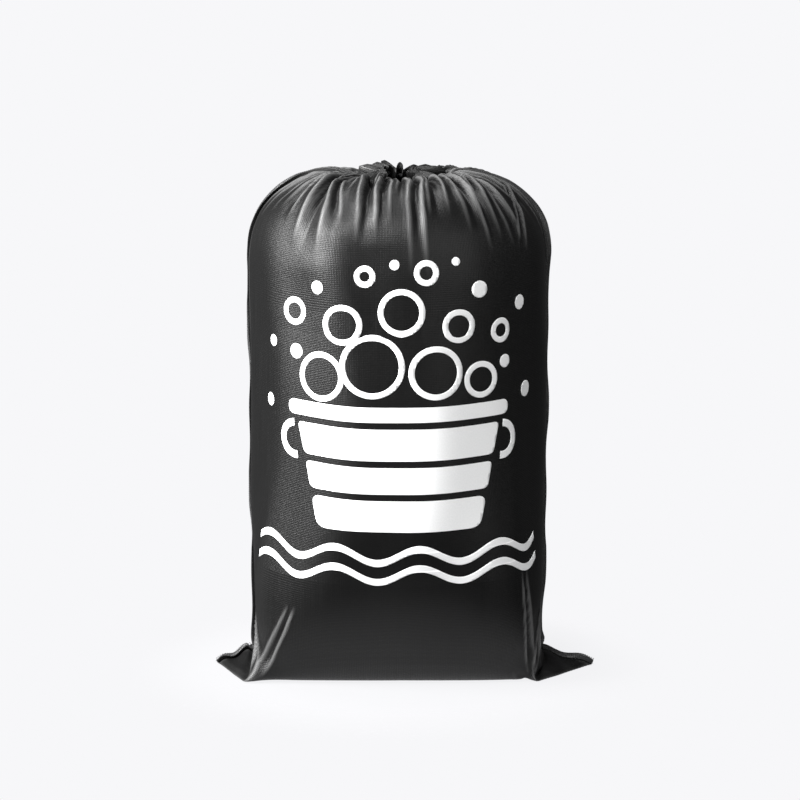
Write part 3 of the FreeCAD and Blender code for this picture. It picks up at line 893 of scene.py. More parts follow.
def taffeta(name, colour, ridge_highlight_colour, roughness, sheen):
    """Woven cloth that follows the flat pattern in the UV map called cloth."""
    material, tree, output = new_material(name)
    pattern = add_node(tree, "ShaderNodeUVMap", {"uv_map": "cloth"}).outputs["UV"]
    threads = []
    for direction in ("X", "Y"):
        wave = add_node(
            tree,
            "ShaderNodeTexWave",
            {"wave_type": "BANDS", "bands_direction": direction},
            {"Vector": pattern, "Scale": WAVE_PERIOD / WEAVE, "Distortion": 0.6, "Detail": 1.0},
        )
        threads.append(wave.outputs["Fac"])
    weave = add_node(
        tree, "ShaderNodeMath", {"operation": "MULTIPLY"}, {0: threads[0], 1: threads[1]}
    )
    grain = add_node(
        tree, "ShaderNodeTexNoise", inputs={"Vector": pattern, "Scale": 1 / GRAIN, "Detail": 2.0}
    )
    uneven = add_node(
        tree, "ShaderNodeMath", inputs={0: weave.outputs["Value"], 1: grain.outputs["Fac"]}
    )
    stretch = add_node(
        tree,
        "ShaderNodeMapping",
        inputs={"Vector": pattern, "Scale": (1 / SLUB_WIDTH, 1 / SLUB_LENGTH, 1)},
    )
    slub = add_node(
        tree,
        "ShaderNodeTexNoise",
        inputs={"Vector": stretch.outputs["Vector"], "Scale": 1.0, "Detail": 4.0},
    )
    gloss = add_node(
        tree,
        "ShaderNodeMapRange",
        inputs={
            "Value": slub.outputs["Fac"],
            "To Min": roughness - SLUB_GLOSS,
            "To Max": roughness + SLUB_GLOSS,
        },
    )
    # Painted highlight: the ridge attribute mixes the colour towards a paler grey on sharp folds and
    # sewn edges.
    ridge = add_node(tree, "ShaderNodeAttribute", {"attribute_name": "ridge"})
    painted_highlight = add_node(
        tree,
        "ShaderNodeMix",
        {"data_type": "RGBA"},
        {"Factor": ridge.outputs["Fac"], "A": linear(colour), "B": linear(ridge_highlight_colour)},
    )
    bump = add_node(
        tree,
        "ShaderNodeBump",
        inputs={"Height": uneven.outputs["Value"], "Strength": 0.5, "Distance": 0.35 * MM},
    )
    streaks = add_node(
        tree,
        "ShaderNodeBump",
        inputs={
            "Height": slub.outputs["Fac"],
            "Strength": 0.25,
            "Distance": 0.5 * MM,
            "Normal": bump.outputs["Normal"],
        },
    )
    shader = add_node(
        tree,
        "ShaderNodeBsdfPrincipled",
        inputs={
            "Base Color": painted_highlight.outputs["Result"],
            "Roughness": gloss.outputs["Result"],
            "IOR": 1.33,
            "Sheen Weight": sheen,
            "Sheen Roughness": 0.4,
            "Normal": streaks.outputs["Normal"],
        },
    )
    tree.links.new(shader.outputs["BSDF"], output.inputs["Surface"])
    return material


# The second grey is the painted highlight colour of sharp folds and sewn edges.
BLACK_TAFFETA = taffeta("black polyester taffeta", "#0c0c0c", "#505050", 0.40, 0.01)
print("made", BLACK_TAFFETA.name)

# %% [markdown]
# ### Thread, cord, print and washing
#
# Sewing thread is spun polyester, a little duller than the taffeta. The cord is braided,
# and its strands cross as two slanting waves. The print is a thin white ink film that
# follows the weave under it. The washing is blue-grey cotton towelling.

# %% Thread and cord
def yarn(name, colour, roughness, twist, along):
    """Spun or braided yarn: slanting ridges, in object coordinates."""
    material, tree, output = new_material(name)
    place = add_node(tree, "ShaderNodeTexCoord").outputs["Object"]
    wave = add_node(
        tree,
        "ShaderNodeTexWave",
        {"wave_type": "BANDS", "bands_direction": along},
        {"Vector": place, "Scale": WAVE_PERIOD / twist, "Distortion": 2.0, "Detail": 2.0},
    )
    bump = add_node(
        tree,
        "ShaderNodeBump",
        inputs={"Height": wave.outputs["Fac"], "Strength": 0.6, "Distance": 0.2 * MM},
    )
    shader = add_node(
        tree,
        "ShaderNodeBsdfPrincipled",
        inputs={
            "Base Color": linear(colour),
            "Roughness": roughness,
            "Sheen Weight": 0.2,
            "Normal": bump.outputs["Normal"],
        },
    )
    tree.links.new(shader.outputs["BSDF"], output.inputs["Surface"])
    return material


BLACK_THREAD = yarn("spun black thread", "#1b1b1e", 0.6, 0.8 * MM, "DIAGONAL")
BLACK_BRAID = yarn("braided black cord", "#17171a", 0.55, 2.0 * MM, "DIAGONAL")


# %% Print and washing
INK_GRAIN = 2 * MM
LOOP_SIZE = 3 * MM
LOOP_DEPTH = 1 * MM


def ink(name, colour):
    """A matt film of ink, with the weave showing faintly through it."""
    material, tree, output = new_material(name)
    pattern = add_node(tree, "ShaderNodeUVMap", {"uv_map": "cloth"}).outputs["UV"]
    grain = add_node(
        tree, "ShaderNodeTexNoise", inputs={"Vector": pattern, "Scale": 1 / INK_GRAIN, "Detail": 3.0}
    )
    shade = add_node(tree, "ShaderNodeValToRGB", inputs={"Fac": grain.outputs["Fac"]})
    shade.color_ramp.elements[0].color = linear("#eceded")
    shade.color_ramp.elements[1].color = linear(colour)
    bump = add_node(
        tree,
        "ShaderNodeBump",
        inputs={"Height": grain.outputs["Fac"], "Strength": 0.2, "Distance": 0.1 * MM},
    )
    shader = add_node(
        tree,
        "ShaderNodeBsdfPrincipled",
        inputs={
            "Base Color": shade.outputs["Color"],
            "Roughness": 0.6,
            "Normal": bump.outputs["Normal"],
        },
    )
    tree.links.new(shader.outputs["BSDF"], output.inputs["Surface"])
    return material


def towelling(name, colour, shade_between_loops):
    """Cotton towelling: soft loops, with painted shade between them."""
    material, tree, output = new_material(name)
    place = add_node(tree, "ShaderNodeTexCoord").outputs["Object"]
    loops = add_node(tree, "ShaderNodeTexVoronoi", inputs={"Vector": place, "Scale": 1 / LOOP_SIZE})
    # Painted shade: the colour darkens towards the hollows between the loops.
    mix = add_node(
        tree,
        "ShaderNodeMix",
        {"data_type": "RGBA"},
        {"Factor": loops.outputs["Distance"], "A": linear(colour), "B": linear(shade_between_loops)},
    )
    bump = add_node(
        tree,
        "ShaderNodeBump",
        inputs={"Height": loops.outputs["Distance"], "Strength": 0.8, "Distance": LOOP_DEPTH},
    )
    shader = add_node(
        tree,
        "ShaderNodeBsdfPrincipled",
        inputs={
            "Base Color": mix.outputs["Result"],
            "Roughness": 0.9,
            "Sheen Weight": 0.5,
            "Normal": bump.outputs["Normal"],
        },
    )
    tree.links.new(shader.outputs["BSDF"], output.inputs["Surface"])
    return material


WHITE_INK = ink("white screen print ink", "#fbfbfb")
# The second colour is the painted shade between the loops.
TOWELLING = towelling("blue grey cotton towelling", "#7c8a99", "#4b5763")
print("made", ", ".join(m.name for m in (BLACK_THREAD, BLACK_BRAID, WHITE_INK, TOWELLING)))

# %% [markdown]
# ## The two panels
#
# Each panel is a grid of spots on the flat pattern, placed by the smooth surface. Beyond
# each side seam it goes on as the sewn edge, which stands out 8 mm from the bag. Each
# panel is then given its thickness inwards.

# %% Panels
CLOTH_THICK = 0.5 * MM
EDGE_STEPS = np.array([8.0, 6.0, 4.0, 2.0]) * MM
EDGE_GAP = 0.55 * MM
EDGE_LEAN = 0.9
PLAIN_BEND = 0.12 * MM
SHARP_BEND = 1.1 * MM
EDGE_WAVE = 0.8
EDGE_BLUR = 9
DRAWN_IN_FROM = 0.70
DRAWN_IN = 0.6
# Share of the painted highlight on the taffeta given to the sewn edges.
EDGE_HIGHLIGHT = 0.4
FINE_ACROSS = 236
FINE_ZONES = ((0.0, 0.25, 50), (0.25, 0.58, 34), (0.58, MOUTH_SILL, 112))


def fine_rows():
    """Heights of the panel's rows, close together where the cloth folds."""
    rows = [0.0]
    for low, high, count in FINE_ZONES:
        rows += list(np.linspace(low, high, count + 1)[1:])
    return np.array(rows)


def blurred(values, reach):
    """A running average down the first axis."""
    kernel = np.hanning(2 * reach + 3)[1:-1]
    kernel /= kernel.sum()
    padded = np.concatenate([values[:1]] * reach + [values] + [values[-1:]] * reach)
    return sum(padded[i : i + len(values)] * kernel[i] for i in range(len(kernel)))


def seam_frame(girth, rows):
    """Seam places, the way its edge stands out, and the girth-wise direction."""
    place, normal, along = cloth_at(np.full(len(rows), girth), rows)
    normal = unit(blurred(normal, EDGE_BLUR))
    wave = np.sin(rows / (23 * MM) + girth * 7) * np.sin(rows / (71 * MM) + girth * 3)
    backward = 1 if girth > 0 else -1
    out = unit(normal + along * backward * (EDGE_LEAN + EDGE_WAVE * wave)[:, None])
    return place, out, along


def edge_height(rows):
    """How far the sewn edge stands out: less where it is gathered into the mouth."""
    gathered = np.clip((rows - DRAWN_IN_FROM) / (MOUTH_SILL - DRAWN_IN_FROM), 0, 1)
    return 1 - DRAWN_IN * gathered


# The ridge amount is the mask of the painted highlight on the taffeta.
def ridge_amount(places, normals):
    """0 on plain cloth, towards 1 on sharp outward folds, from how the rows bend."""
    bend = places[:, 2:-2] - (places[:, :-4] + places[:, 4:]) / 2
    outward = np.pad((bend * normals[:, 2:-2]).sum(-1), ((0, 0), (2, 2)))
    return np.clip((outward - PLAIN_BEND) / SHARP_BEND, 0, 1)


def add_uv(made, uv):
    """Store flat pattern coordinates, in metres, for every corner of every face."""
    layer = made.data.uv_layers.new(name="cloth")
    corners = np.zeros(len(made.data.loops), dtype=int)
    made.data.loops.foreach_get("vertex_index", corners)
    layer.data.foreach_set("uv", uv[corners].astype(np.float32).ravel())


def finish_piece(made, material, thick=None):
    """Smooth shading, a material, and thickness inwards if it is a sheet."""
    for face in made.data.polygons:
        face.use_smooth = True
    made.data.materials.append(material)
    if thick:
        solid = made.modifiers.new("thickness", "SOLIDIFY")
        solid.thickness = thick
        solid.offset = -1
    return made


def add_panel(name, first_seam):
    """One panel, with its sewn edges, from the seam at one side to the next."""
    rows = fine_rows()
    girths = np.linspace(first_seam, first_seam + PANEL_WIDTH, FINE_ACROSS + 1)
    grid_girth, grid_rows = np.meshgrid(girths, rows)
    places, normals, along = cloth_at(grid_girth, grid_rows)
    ridge = ridge_amount(places, normals)
    height = edge_height(rows)[:, None]
    sides = []
    for girth, inward in ((girths[0], 1), (girths[-1], -1)):
        seam, out, along = seam_frame(girth, rows)
        inside = seam + along * inward * EDGE_GAP
        strips = [inside + out * height * step for step in EDGE_STEPS]
        sides.append(strips if inward > 0 else strips[::-1])
    left, right = [[strip[:, None] for strip in strips] for strips in sides]
    points = np.concatenate(left + [places] + right, axis=1)
    edge = len(EDGE_STEPS)
    flat_girth = np.concatenate([girths[0] - EDGE_STEPS, girths, girths[-1] + EDGE_STEPS[::-1]])
    uv = np.stack(np.meshgrid(flat_girth, rows), axis=-1)
    made = add_mesh(name, points.reshape(-1, 3), grid_faces(len(rows), points.shape[1]))
    add_uv(made, uv.reshape(-1, 2))
    # The sewn edges get part of the painted highlight all along.
    amounts = np.pad(ridge, ((0, 0), (edge, edge)), constant_values=EDGE_HIGHLIGHT)
    made.data.attributes.new("ridge", "FLOAT", "POINT").data.foreach_set("value", amounts.ravel())
    return finish_piece(made, BLACK_TAFFETA, CLOTH_THICK)


front_cloth = add_panel("front_cloth", 0.0)
back_cloth = add_panel("back_cloth", PANEL_WIDTH)
print("panels:", [len(piece.data.polygons) for piece in (front_cloth, back_cloth)], "faces")

# %% [markdown]
# ## The tunnel and its cord
#
# The tunnel is a flattened tube of cloth round the cord. Its outer wall is the top of the
# simulated cloth. The inner wall has the same pleats, shallower, on the other side of
# the cord. Front and back have a tunnel each, and the cord runs through both.

# %% Tunnel bands and cord
WALL_STEPS = 6
TUNNEL_FINE = 330
CORD_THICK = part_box("drawcord")[1][2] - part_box("drawcord")[0][2]
INNER_REACH = 0.35
INNER_OUT = -9 * MM
HEM_ROLL = 3.5 * MM
CORD_OUT = -5 * MM


def add_band(name, first_seam):
    """A tunnel band over one panel: up the outside, over the top and down the inside."""
    girths = np.linspace(first_seam, first_seam + PANEL_WIDTH, TUNNEL_FINE + 1)
    ups = np.linspace(0, TUNNEL, WALL_STEPS)
    outer = cloth_at(*np.meshgrid(girths, MOUTH_SILL + ups))[0]
    turns = girths / (2 * PANEL_WIDTH)
    inner = np.array(
        [[mouth_place(turn, up, INNER_REACH, INNER_OUT) for turn in turns] for up in ups]
    )
    top = (outer[-1] + inner[-1]) / 2 + np.array((0, 0, HEM_ROLL))
    points = np.concatenate([outer, top[None], inner[::-1]])
    rows = points.shape[0]
    made = add_mesh(name, points.reshape(-1, 3), grid_faces(rows, len(girths)))
    uv = np.stack(np.meshgrid(girths, np.linspace(0, 2 * TUNNEL, rows)), axis=-1)
    add_uv(made, uv.reshape(-1, 2))
    made.data.attributes.new("ridge", "FLOAT", "POINT")
    return finish_piece(made, BLACK_TAFFETA, CLOTH_THICK)


def add_drawcord():
    """A closed round of cord in the middle of the tunnel."""
    curve = bpy.data.curves.new("draw_cord", "CURVE")
    curve.dimensions = "3D"
    spline = curve.splines.new("NURBS")
    turns = np.linspace(0, 1, 24, endpoint=False)
    spline.points.add(len(turns) - 1)
    for point, turn in zip(spline.points, turns):
        point.co = (*mouth_place(turn, TUNNEL / 2, reach=0.0, out=CORD_OUT), 1.0)
    spline.use_cyclic_u = True
    spline.order_u = 4
    spline.resolution_u = 6
    curve.bevel_depth = CORD_THICK / 2
    curve.bevel_resolution = 3
    path = bpy.data.objects.new("cord_path", curve)
    bpy.context.collection.objects.link(path)
    graph = bpy.context.evaluated_depsgraph_get()
    mesh = bpy.data.meshes.new_from_object(path.evaluated_get(graph))
    bpy.data.objects.remove(path, do_unlink=True)
    made = bpy.data.objects.new("draw_cord", mesh)
    bpy.context.collection.objects.link(made)
    mesh.materials.clear()
    return finish_piece(made, BLACK_BRAID)


front_hem = add_band("front_hem", 0.0)
back_hem = add_band("back_hem", PANEL_WIDTH)
draw_cord = add_drawcord()
print(f"tunnel: {len(front_hem.data.polygons)} faces a side; cord {CORD_THICK * 1000:.1f} mm thick")

# %% [markdown]
# ## Thread
#
# Two Geometry Nodes trees do all the sewing. One lays a row of separate stitches along a
# path: it resamples the path at the stitch length, puts one small grain on each point and
# turns it to face along the path. The other wraps a path in a round thread, and is used
# for the overlock, whose path is a flat coil round the sewn edge.

# %% Geometry Nodes trees for stitches and thread
STITCH_SHARE = 0.86


def new_tree(name, sockets):
    """A geometry tree with a thickness, a thread and its own inputs, and one output."""
    tree = bpy.data.node_groups.new(name, "GeometryNodeTree")
    tree.interface.new_socket("Geometry", in_out="INPUT", socket_type="NodeSocketGeometry")
    both = [("Thickness", "NodeSocketFloat"), ("Thread", "NodeSocketMaterial")]
    for label, kind in sockets + both:
        tree.interface.new_socket(label, in_out="INPUT", socket_type=kind)
    tree.interface.new_socket("Geometry", in_out="OUTPUT", socket_type="NodeSocketGeometry")
    return tree, tree.nodes.new("NodeGroupInput").outputs, tree.nodes.new("NodeGroupOutput")


def stitch_tree():
    """Separate stitches along a path."""
    tree, given, output = new_tree("stitches along a path", [("Step", "NodeSocketFloat")])
    path = add_node(tree, "GeometryNodeMeshToCurve", inputs={"Mesh": given["Geometry"]})
    spots = add_node(
        tree,
        "GeometryNodeResampleCurve",
        {"mode": "LENGTH"},
        {"Curve": path.outputs["Curve"], "Length": given["Step"]},
    )
    ahead = add_node(tree, "GeometryNodeInputTangent")
    turn = add_node(
        tree,
        "FunctionNodeAlignRotationToVector",
        {"axis": "X"},
        {"Vector": ahead.outputs["Tangent"]},
    )
    grain = add_node(
        tree, "GeometryNodeMeshUVSphere", inputs={"Segments": 8, "Rings": 5, "Radius": 0.5}
    )
    length = add_node(
        tree, "ShaderNodeMath", {"operation": "MULTIPLY"}, {0: given["Step"], 1: STITCH_SHARE}
    )
    size = add_node(
        tree,
        "ShaderNodeCombineXYZ",
        inputs={"X": length.outputs["Value"], "Y": given["Thickness"], "Z": given["Thickness"]},
    )
    copies = add_node(
        tree,
        "GeometryNodeInstanceOnPoints",
        inputs={
            "Points": spots.outputs["Curve"],
            "Instance": grain.outputs["Mesh"],
            "Rotation": turn.outputs["Rotation"],
            "Scale": size.outputs["Vector"],
        },
    )
    return close_tree(tree, copies.outputs["Instances"], given["Thread"], output)


def thread_tree():
    """One round thread along a path."""
    tree, given, output = new_tree("thread along a path", [])
    path = add_node(tree, "GeometryNodeMeshToCurve", inputs={"Mesh": given["Geometry"]})
    half = add_node(
        tree, "ShaderNodeMath", {"operation": "MULTIPLY"}, {0: given["Thickness"], 1: 0.5}
    )
    ring = add_node(
        tree,
        "GeometryNodeCurvePrimitiveCircle",
        inputs={"Resolution": 5, "Radius": half.outputs["Value"]},
    )
    tube = add_node(
        tree,
        "GeometryNodeCurveToMesh",
        inputs={
            "Curve": path.outputs["Curve"],
            "Profile Curve": ring.outputs["Curve"],
            "Fill Caps": True,
        },
    )
    return close_tree(tree, tube.outputs["Mesh"], given["Thread"], output)


def close_tree(tree, geometry, thread, output):
    """Make the copies real, shade them smooth and give them their thread."""
    real = add_node(tree, "GeometryNodeRealizeInstances", inputs={"Geometry": geometry})
    soft = add_node(
        tree, "GeometryNodeSetShadeSmooth", inputs={"Geometry": real.outputs["Geometry"]}
    )
    done = add_node(
        tree,
        "GeometryNodeSetMaterial",
        inputs={"Geometry": soft.outputs["Geometry"], "Material": thread},
    )
    tree.links.new(done.outputs["Geometry"], output.inputs["Geometry"])
    return tree


STITCHES = stitch_tree()
THREAD = thread_tree()
print("trees:", STITCHES.name, "and", THREAD.name)


# %% Run a tree on a path
STITCH = 3.2 * MM
THREAD_THICK = 0.5 * MM
SEWING = {"Step": STITCH, "Thickness": THREAD_THICK, "Thread": BLACK_THREAD}


def sew(name, tree, paths):
    """Run a tree on one or more paths and keep the result as a plain mesh."""
    points = np.concatenate(paths)
    edges = []
    first = 0
    for path in paths:
        edges += [(first + i, first + i + 1) for i in range(len(path) - 1)]
        first += len(path)
    mesh = bpy.data.meshes.new(name + "_path")
    mesh.from_pydata([tuple(point) for point in points], edges, [])
    made = bpy.data.objects.new(name, mesh)
    bpy.context.collection.objects.link(made)
    modifier = made.modifiers.new("sewing", "NODES")
    modifier.node_group = tree
    for item in tree.interface.items_tree:
        if item.in_out == "INPUT" and item.name in SEWING:
            modifier[item.identifier] = SEWING[item.name]
    graph = bpy.context.evaluated_depsgraph_get()
    result = bpy.data.meshes.new_from_object(made.evaluated_get(graph))
    made.modifiers.remove(modifier)
    made.data = result
    bpy.data.meshes.remove(mesh)
    return made


# %% [markdown]
# The side seams have one row of stitching close to the bag and an overlock round the raw
# edge. Stitches are 3.2 mm apart and the thread is 0.5 mm thick.

# %% Side seams
OVERLOCK_STEP = 2.6 * MM
OVERLOCK_WIDE = 4.6 * MM
STITCH_OUT = 1.9 * MM
SEAM_END = 2 * MM
seam_rows = np.linspace(SEAM_END, MOUTH_SILL - SEAM_END, 500)


def side_stitches(name, girth):
    """A row of stitches on both faces of a sewn edge."""
    seam, out, along = seam_frame(girth, seam_rows)
    height = edge_height(seam_rows)[:, None]
    proud = EDGE_GAP + THREAD_THICK / 3
    paths = [seam + out * height * STITCH_OUT + along * side * proud for side in (-1, 1)]
    return sew(name, STITCHES, paths)


def along_line(line, index):
    """The place at a fractional index of a line of points."""
    steps = np.arange(len(line))
    return np.stack([np.interp(index, steps, values) for values in line.T], axis=-1)


def side_overlock(name, girth):
    """The overlock: a flat coil of thread round the raw edge."""
    seam, out, along = seam_frame(girth, seam_rows)
    height = edge_height(seam_rows)[:, None]
    length = np.concatenate([[0], np.cumsum(np.linalg.norm(np.diff(seam, axis=0), axis=1))])
    loops = int(length[-1] / OVERLOCK_STEP)
    half = EDGE_GAP + THREAD_THICK / 2
    low, high = EDGE_STEPS[0] - OVERLOCK_WIDE, EDGE_STEPS[0] + THREAD_THICK / 2
    corners = [(low, half), (high - half, half), (high, 0.0), (high - half, -half), (low, -half)]
    points = []
    for loop in range(loops):
        for corner, (reach, side) in enumerate(corners):
            spot = (loop + corner / len(corners)) / loops * length[-1]
            index = np.interp(spot, length, np.arange(len(length)))
            at, outward, across = [along_line(line, index) for line in (seam, out, along)]
            tall = along_line(height, index)[0]
            points.append(at + outward * reach * tall + across * side)
    return sew(name, THREAD, [np.array(points)])


left_stitches = side_stitches("left_stitches", 0.0)
right_stitches = side_stitches("right_stitches", PANEL_WIDTH)
left_overlock = side_overlock("left_overlock", 0.0)
right_overlock = side_overlock("right_overlock", PANEL_WIDTH)
stitch_faces, overlock_faces = [len(p.data.polygons) for p in (left_stitches, left_overlock)]
print(f"stitching: {stitch_faces} faces a side; overlock: {overlock_faces}")

# %% [markdown]
# The tunnel is closed by a row of stitches 28 mm below the drawn edge. The bottom seam
# lies under the bag, from one ear tip to the other, with its stitches on the inside.

# %% Tunnel and bottom rows
TUNNEL_SPOTS = 700
BOTTOM_SPOTS = 300
TIP_GAP = 4 * MM
ZIGZAG = 3.2 * MM


def tunnel_stitches(name, first_seam):
    """The row that closes a tunnel band."""
    last_seam = first_seam + PANEL_WIDTH
    girths = np.linspace(first_seam + SEAM_END, last_seam - SEAM_END, TUNNEL_SPOTS)
    place, normal, along = cloth_at(girths, np.full(TUNNEL_SPOTS, MOUTH_SILL - 1 * MM))
    return sew(name, STITCHES, [place + normal * THREAD_THICK / 3])


def bottom_line(rise):
    """The bottom seam from tip to tip, a little above the cloth."""
    girths = np.linspace(TIP_GAP, PANEL_WIDTH - TIP_GAP, BOTTOM_SPOTS)
    place = cloth_at(girths, np.zeros(BOTTOM_SPOTS))[0]
    place[:, 2] += rise
    return place


front_tunnel_stitches = tunnel_stitches("front_tunnel_stitches", 0.0)
back_tunnel_stitches = tunnel_stitches("back_tunnel_stitches", PANEL_WIDTH)
bottom_row = bottom_line(CLOTH_THICK + THREAD_THICK / 3)
bottom_stitches = sew("bottom_stitches", STITCHES, [bottom_row])


def add_bottom_overlock():
    """The flat overlock under the bottom seam: a zigzag of thread."""
    line = bottom_line(-0.1 * MM)
    length = np.linalg.norm(line[-1] - line[0])
    count = int(length / (OVERLOCK_STEP / 2))
    points = along_line(line, np.linspace(0, len(line) - 1, count))
    points[:, 1] += np.where(np.arange(count) % 2 == 0, 1, -1) * ZIGZAG
    return sew("bottom_overlock", THREAD, [points])


bottom_overlock = add_bottom_overlock()
print("tunnel rows:", len(front_tunnel_stitches.data.polygons), "faces each")

# %% [markdown]
# ## The print
#
# A picture of wash day: a tub with foam, bubbles that drift up, and two lines of water.
# Each shape is drawn flat as closed outlines, filled, cut into small faces so that it can
# bend, and laid on the cloth a third of a millimetre proud of it.

# %% Outlines of the print, in millimetres from the middle and the floor
RING_BUBBLES = [
    (-92, 372, 30),
    (-30, 388, 38),
    (44, 380, 32),
    (100, 368, 22),
    (-66, 436, 24),
    (4, 452, 28),
    (72, 434, 20),
    (-132, 446, 17),
    (128, 424, 15),
    (34, 498, 15),
    (-40, 494, 13),
]
DOT_BUBBLES = [
    (-128, 398, 9),
    (134, 386, 8),
    (-98, 478, 8),
    (98, 476, 10),
    (-168, 404, 7),
    (164, 452, 9),
    (-4, 508, 6),
    (70, 510, 5),
    (-176, 330, 8),
    (176, 344, 10),
]
RING_WIDTH = 7
TUB_SLABS = [
    (322, 340, 138, 138, 9),
    (276, 314, 124, 114, 7),
    (236, 268, 112, 104, 7),
    (190, 228, 102, 92, 12),
]
HANDLE = (127, 292, 24, 9)
WAVE_HEIGHTS = (160, 136)
WAVE_COUNT = 4
WAVE_LENGTH = 92
WAVE_SWING = 9
WAVE_WIDTH = 9


def circle(x, z, radius, points=56):
    """A round outline."""
    angles = np.linspace(0, 2 * math.pi, points, endpoint=False)
    return [(x + radius * math.cos(a), z + radius * math.sin(a)) for a in angles]


def slab(low, high, half_top, half_bottom, corner):
    """An outline wider at the top, with round corners."""
    corners = [(-half_bottom, low), (half_bottom, low), (half_top, high), (-half_top, high)]
    outline = []
    for index, here in enumerate(corners):
        before = Vector(corners[index - 1]) - Vector(here)
        after = Vector(corners[(index + 1) % 4]) - Vector(here)
        start = Vector(here) + before.normalized() * corner
        end = Vector(here) + after.normalized() * corner
        for part in np.linspace(0, 1, 7):
            bend = start.lerp(Vector(here), part).lerp(Vector(here).lerp(end, part), part)
            outline.append((bend.x, bend.y))
    return outline


def wave(height):
    """A ribbon of water with round swells."""
    xs = np.linspace(-WAVE_COUNT / 2, WAVE_COUNT / 2, 32 * WAVE_COUNT + 1) * WAVE_LENGTH
    swell = height + WAVE_SWING * np.sin(2 * math.pi * xs / WAVE_LENGTH)
    top = [(x, z + WAVE_WIDTH / 2) for x, z in zip(xs, swell)]
    bottom = [(x, z - WAVE_WIDTH / 2) for x, z in zip(xs, swell)]
    return top + bottom[::-1]


def print_shapes():
    """Every shape as a list of outlines: the first is filled, the others are holes."""
    shapes = [[circle(*dot, points=32)] for dot in DOT_BUBBLES]
    for x, z, radius in RING_BUBBLES:
        shapes.append([circle(x, z, radius), circle(x, z, radius - RING_WIDTH)])
    shapes += [[slab(*sizes)] for sizes in TUB_SLABS]
    for hand in (-1, 1):
        x, z, radius, width = HANDLE
        angles = np.linspace(-1.75, 1.45, 25)
        outer = [(hand * (x + radius * math.cos(a)), z + radius * math.sin(a)) for a in angles]
        less = radius - width
        inner = [(hand * (x + less * math.cos(a)), z + less * math.sin(a)) for a in angles]
        shapes.append([outer + inner[::-1]])
    return shapes + [[wave(height)] for height in WAVE_HEIGHTS]


# %% Fill the outlines and cut them fine
PRINT_WIDEN = 1.11
PRINT_TALLER = 1.02
PRINT_RISE = 17 * MM
CUT = 4 * MM
PROUD = 0.35 * MM
FILM = 0.2 * MM
WELD = 1e-6
PRINT_TO = 60 * MM


def filled_mesh(shapes):
    """Fill outlines with a flat curve and return it as a mesh in X and Y, in metres."""
    parts = []
    for number, outlines in enumerate(shapes):
        curve = bpy.data.curves.new("outline", "CURVE")
        curve.dimensions = "2D"
        curve.fill_mode = "BOTH"
        for outline in outlines:
            spline = curve.splines.new("POLY")
            spline.points.add(len(outline) - 1)
            for point, (x, z) in zip(spline.points, outline):
                point.co = (x * MM, z * MM, 0, 1)
            spline.use_cyclic_u = True
        shape = bpy.data.objects.new("outline", curve)
        bpy.context.collection.objects.link(shape)
        graph = bpy.context.evaluated_depsgraph_get()
        parts.append(bpy.data.meshes.new_from_object(shape.evaluated_get(graph)))
        bpy.data.objects.remove(shape, do_unlink=True)
    joined = bmesh.new()
    for part in parts:
        joined.from_mesh(part)
    return joined


def cut_fine(flat):
    """Slice every face along a square grid."""
    places = np.array([vertex.co for vertex in flat.verts])
    for axis in (0, 1):
        normal = (1, 0, 0) if axis == 0 else (0, 1, 0)
        low, high = places[:, axis].min(), places[:, axis].max()
        for spot in np.arange(math.ceil(low / CUT), math.floor(high / CUT) + 1) * CUT:
            spot_at = (spot, 0, 0) if axis == 0 else (0, spot, 0)
            parts = flat.verts[:] + flat.edges[:] + flat.faces[:]
            bmesh.ops.bisect_plane(flat, geom=parts, plane_co=spot_at, plane_no=normal, dist=WELD)


def add_print():
    """Lay the print on the front of the bag."""
    flat = filled_mesh(print_shapes())
    bmesh.ops.remove_doubles(flat, verts=flat.verts, dist=WELD)
    cut_fine(flat)
    made = bpy.data.objects.new("wash_day_print", bpy.data.meshes.new("wash_day_print"))
    bpy.context.collection.objects.link(made)
    flat.verts.ensure_lookup_table()
    spots = np.array([vertex.co[:2] for vertex in flat.verts])
    rising = middle_line[:, 2] < SHOULDER + PRINT_TO
    floor_heights = np.maximum.accumulate(middle_line[rising, 2])
    ups = np.interp(spots[:, 1] * PRINT_TALLER + PRINT_RISE, floor_heights, middle_rows[rising])
    girths = spots[:, 0] * PRINT_WIDEN + PANEL_WIDTH / 2
    place, normal, along = cloth_at(girths, ups)
    for vertex, spot in zip(flat.verts, place + normal * PROUD):
        vertex.co = spot
    for face in flat.faces:
        face.normal_update()
    facing = sum(face.normal.y * face.calc_area() for face in flat.faces)
    if facing > 0:
        bmesh.ops.reverse_faces(flat, faces=flat.faces)
    flat.to_mesh(made.data)
    flat.free()
    add_uv(made, np.stack([girths, ups], axis=-1))
    return finish_piece(made, WHITE_INK, FILM)


wash_day_print = add_print()
print("print:", len(wash_day_print.data.polygons), "faces")

# %% [markdown]
# ## The washing
#
# Only a little of the load could ever be seen, down through the mouth. It is the shape
# that the cloth was filled with, drawn in by some 8 % across, with soft lumps on it.

# %% Washing
DRAWN_IN_BY = np.array([0.92, 0.92, 0.965])
LUMP = 0.006
WASHING_WELD = 0.5 * MM


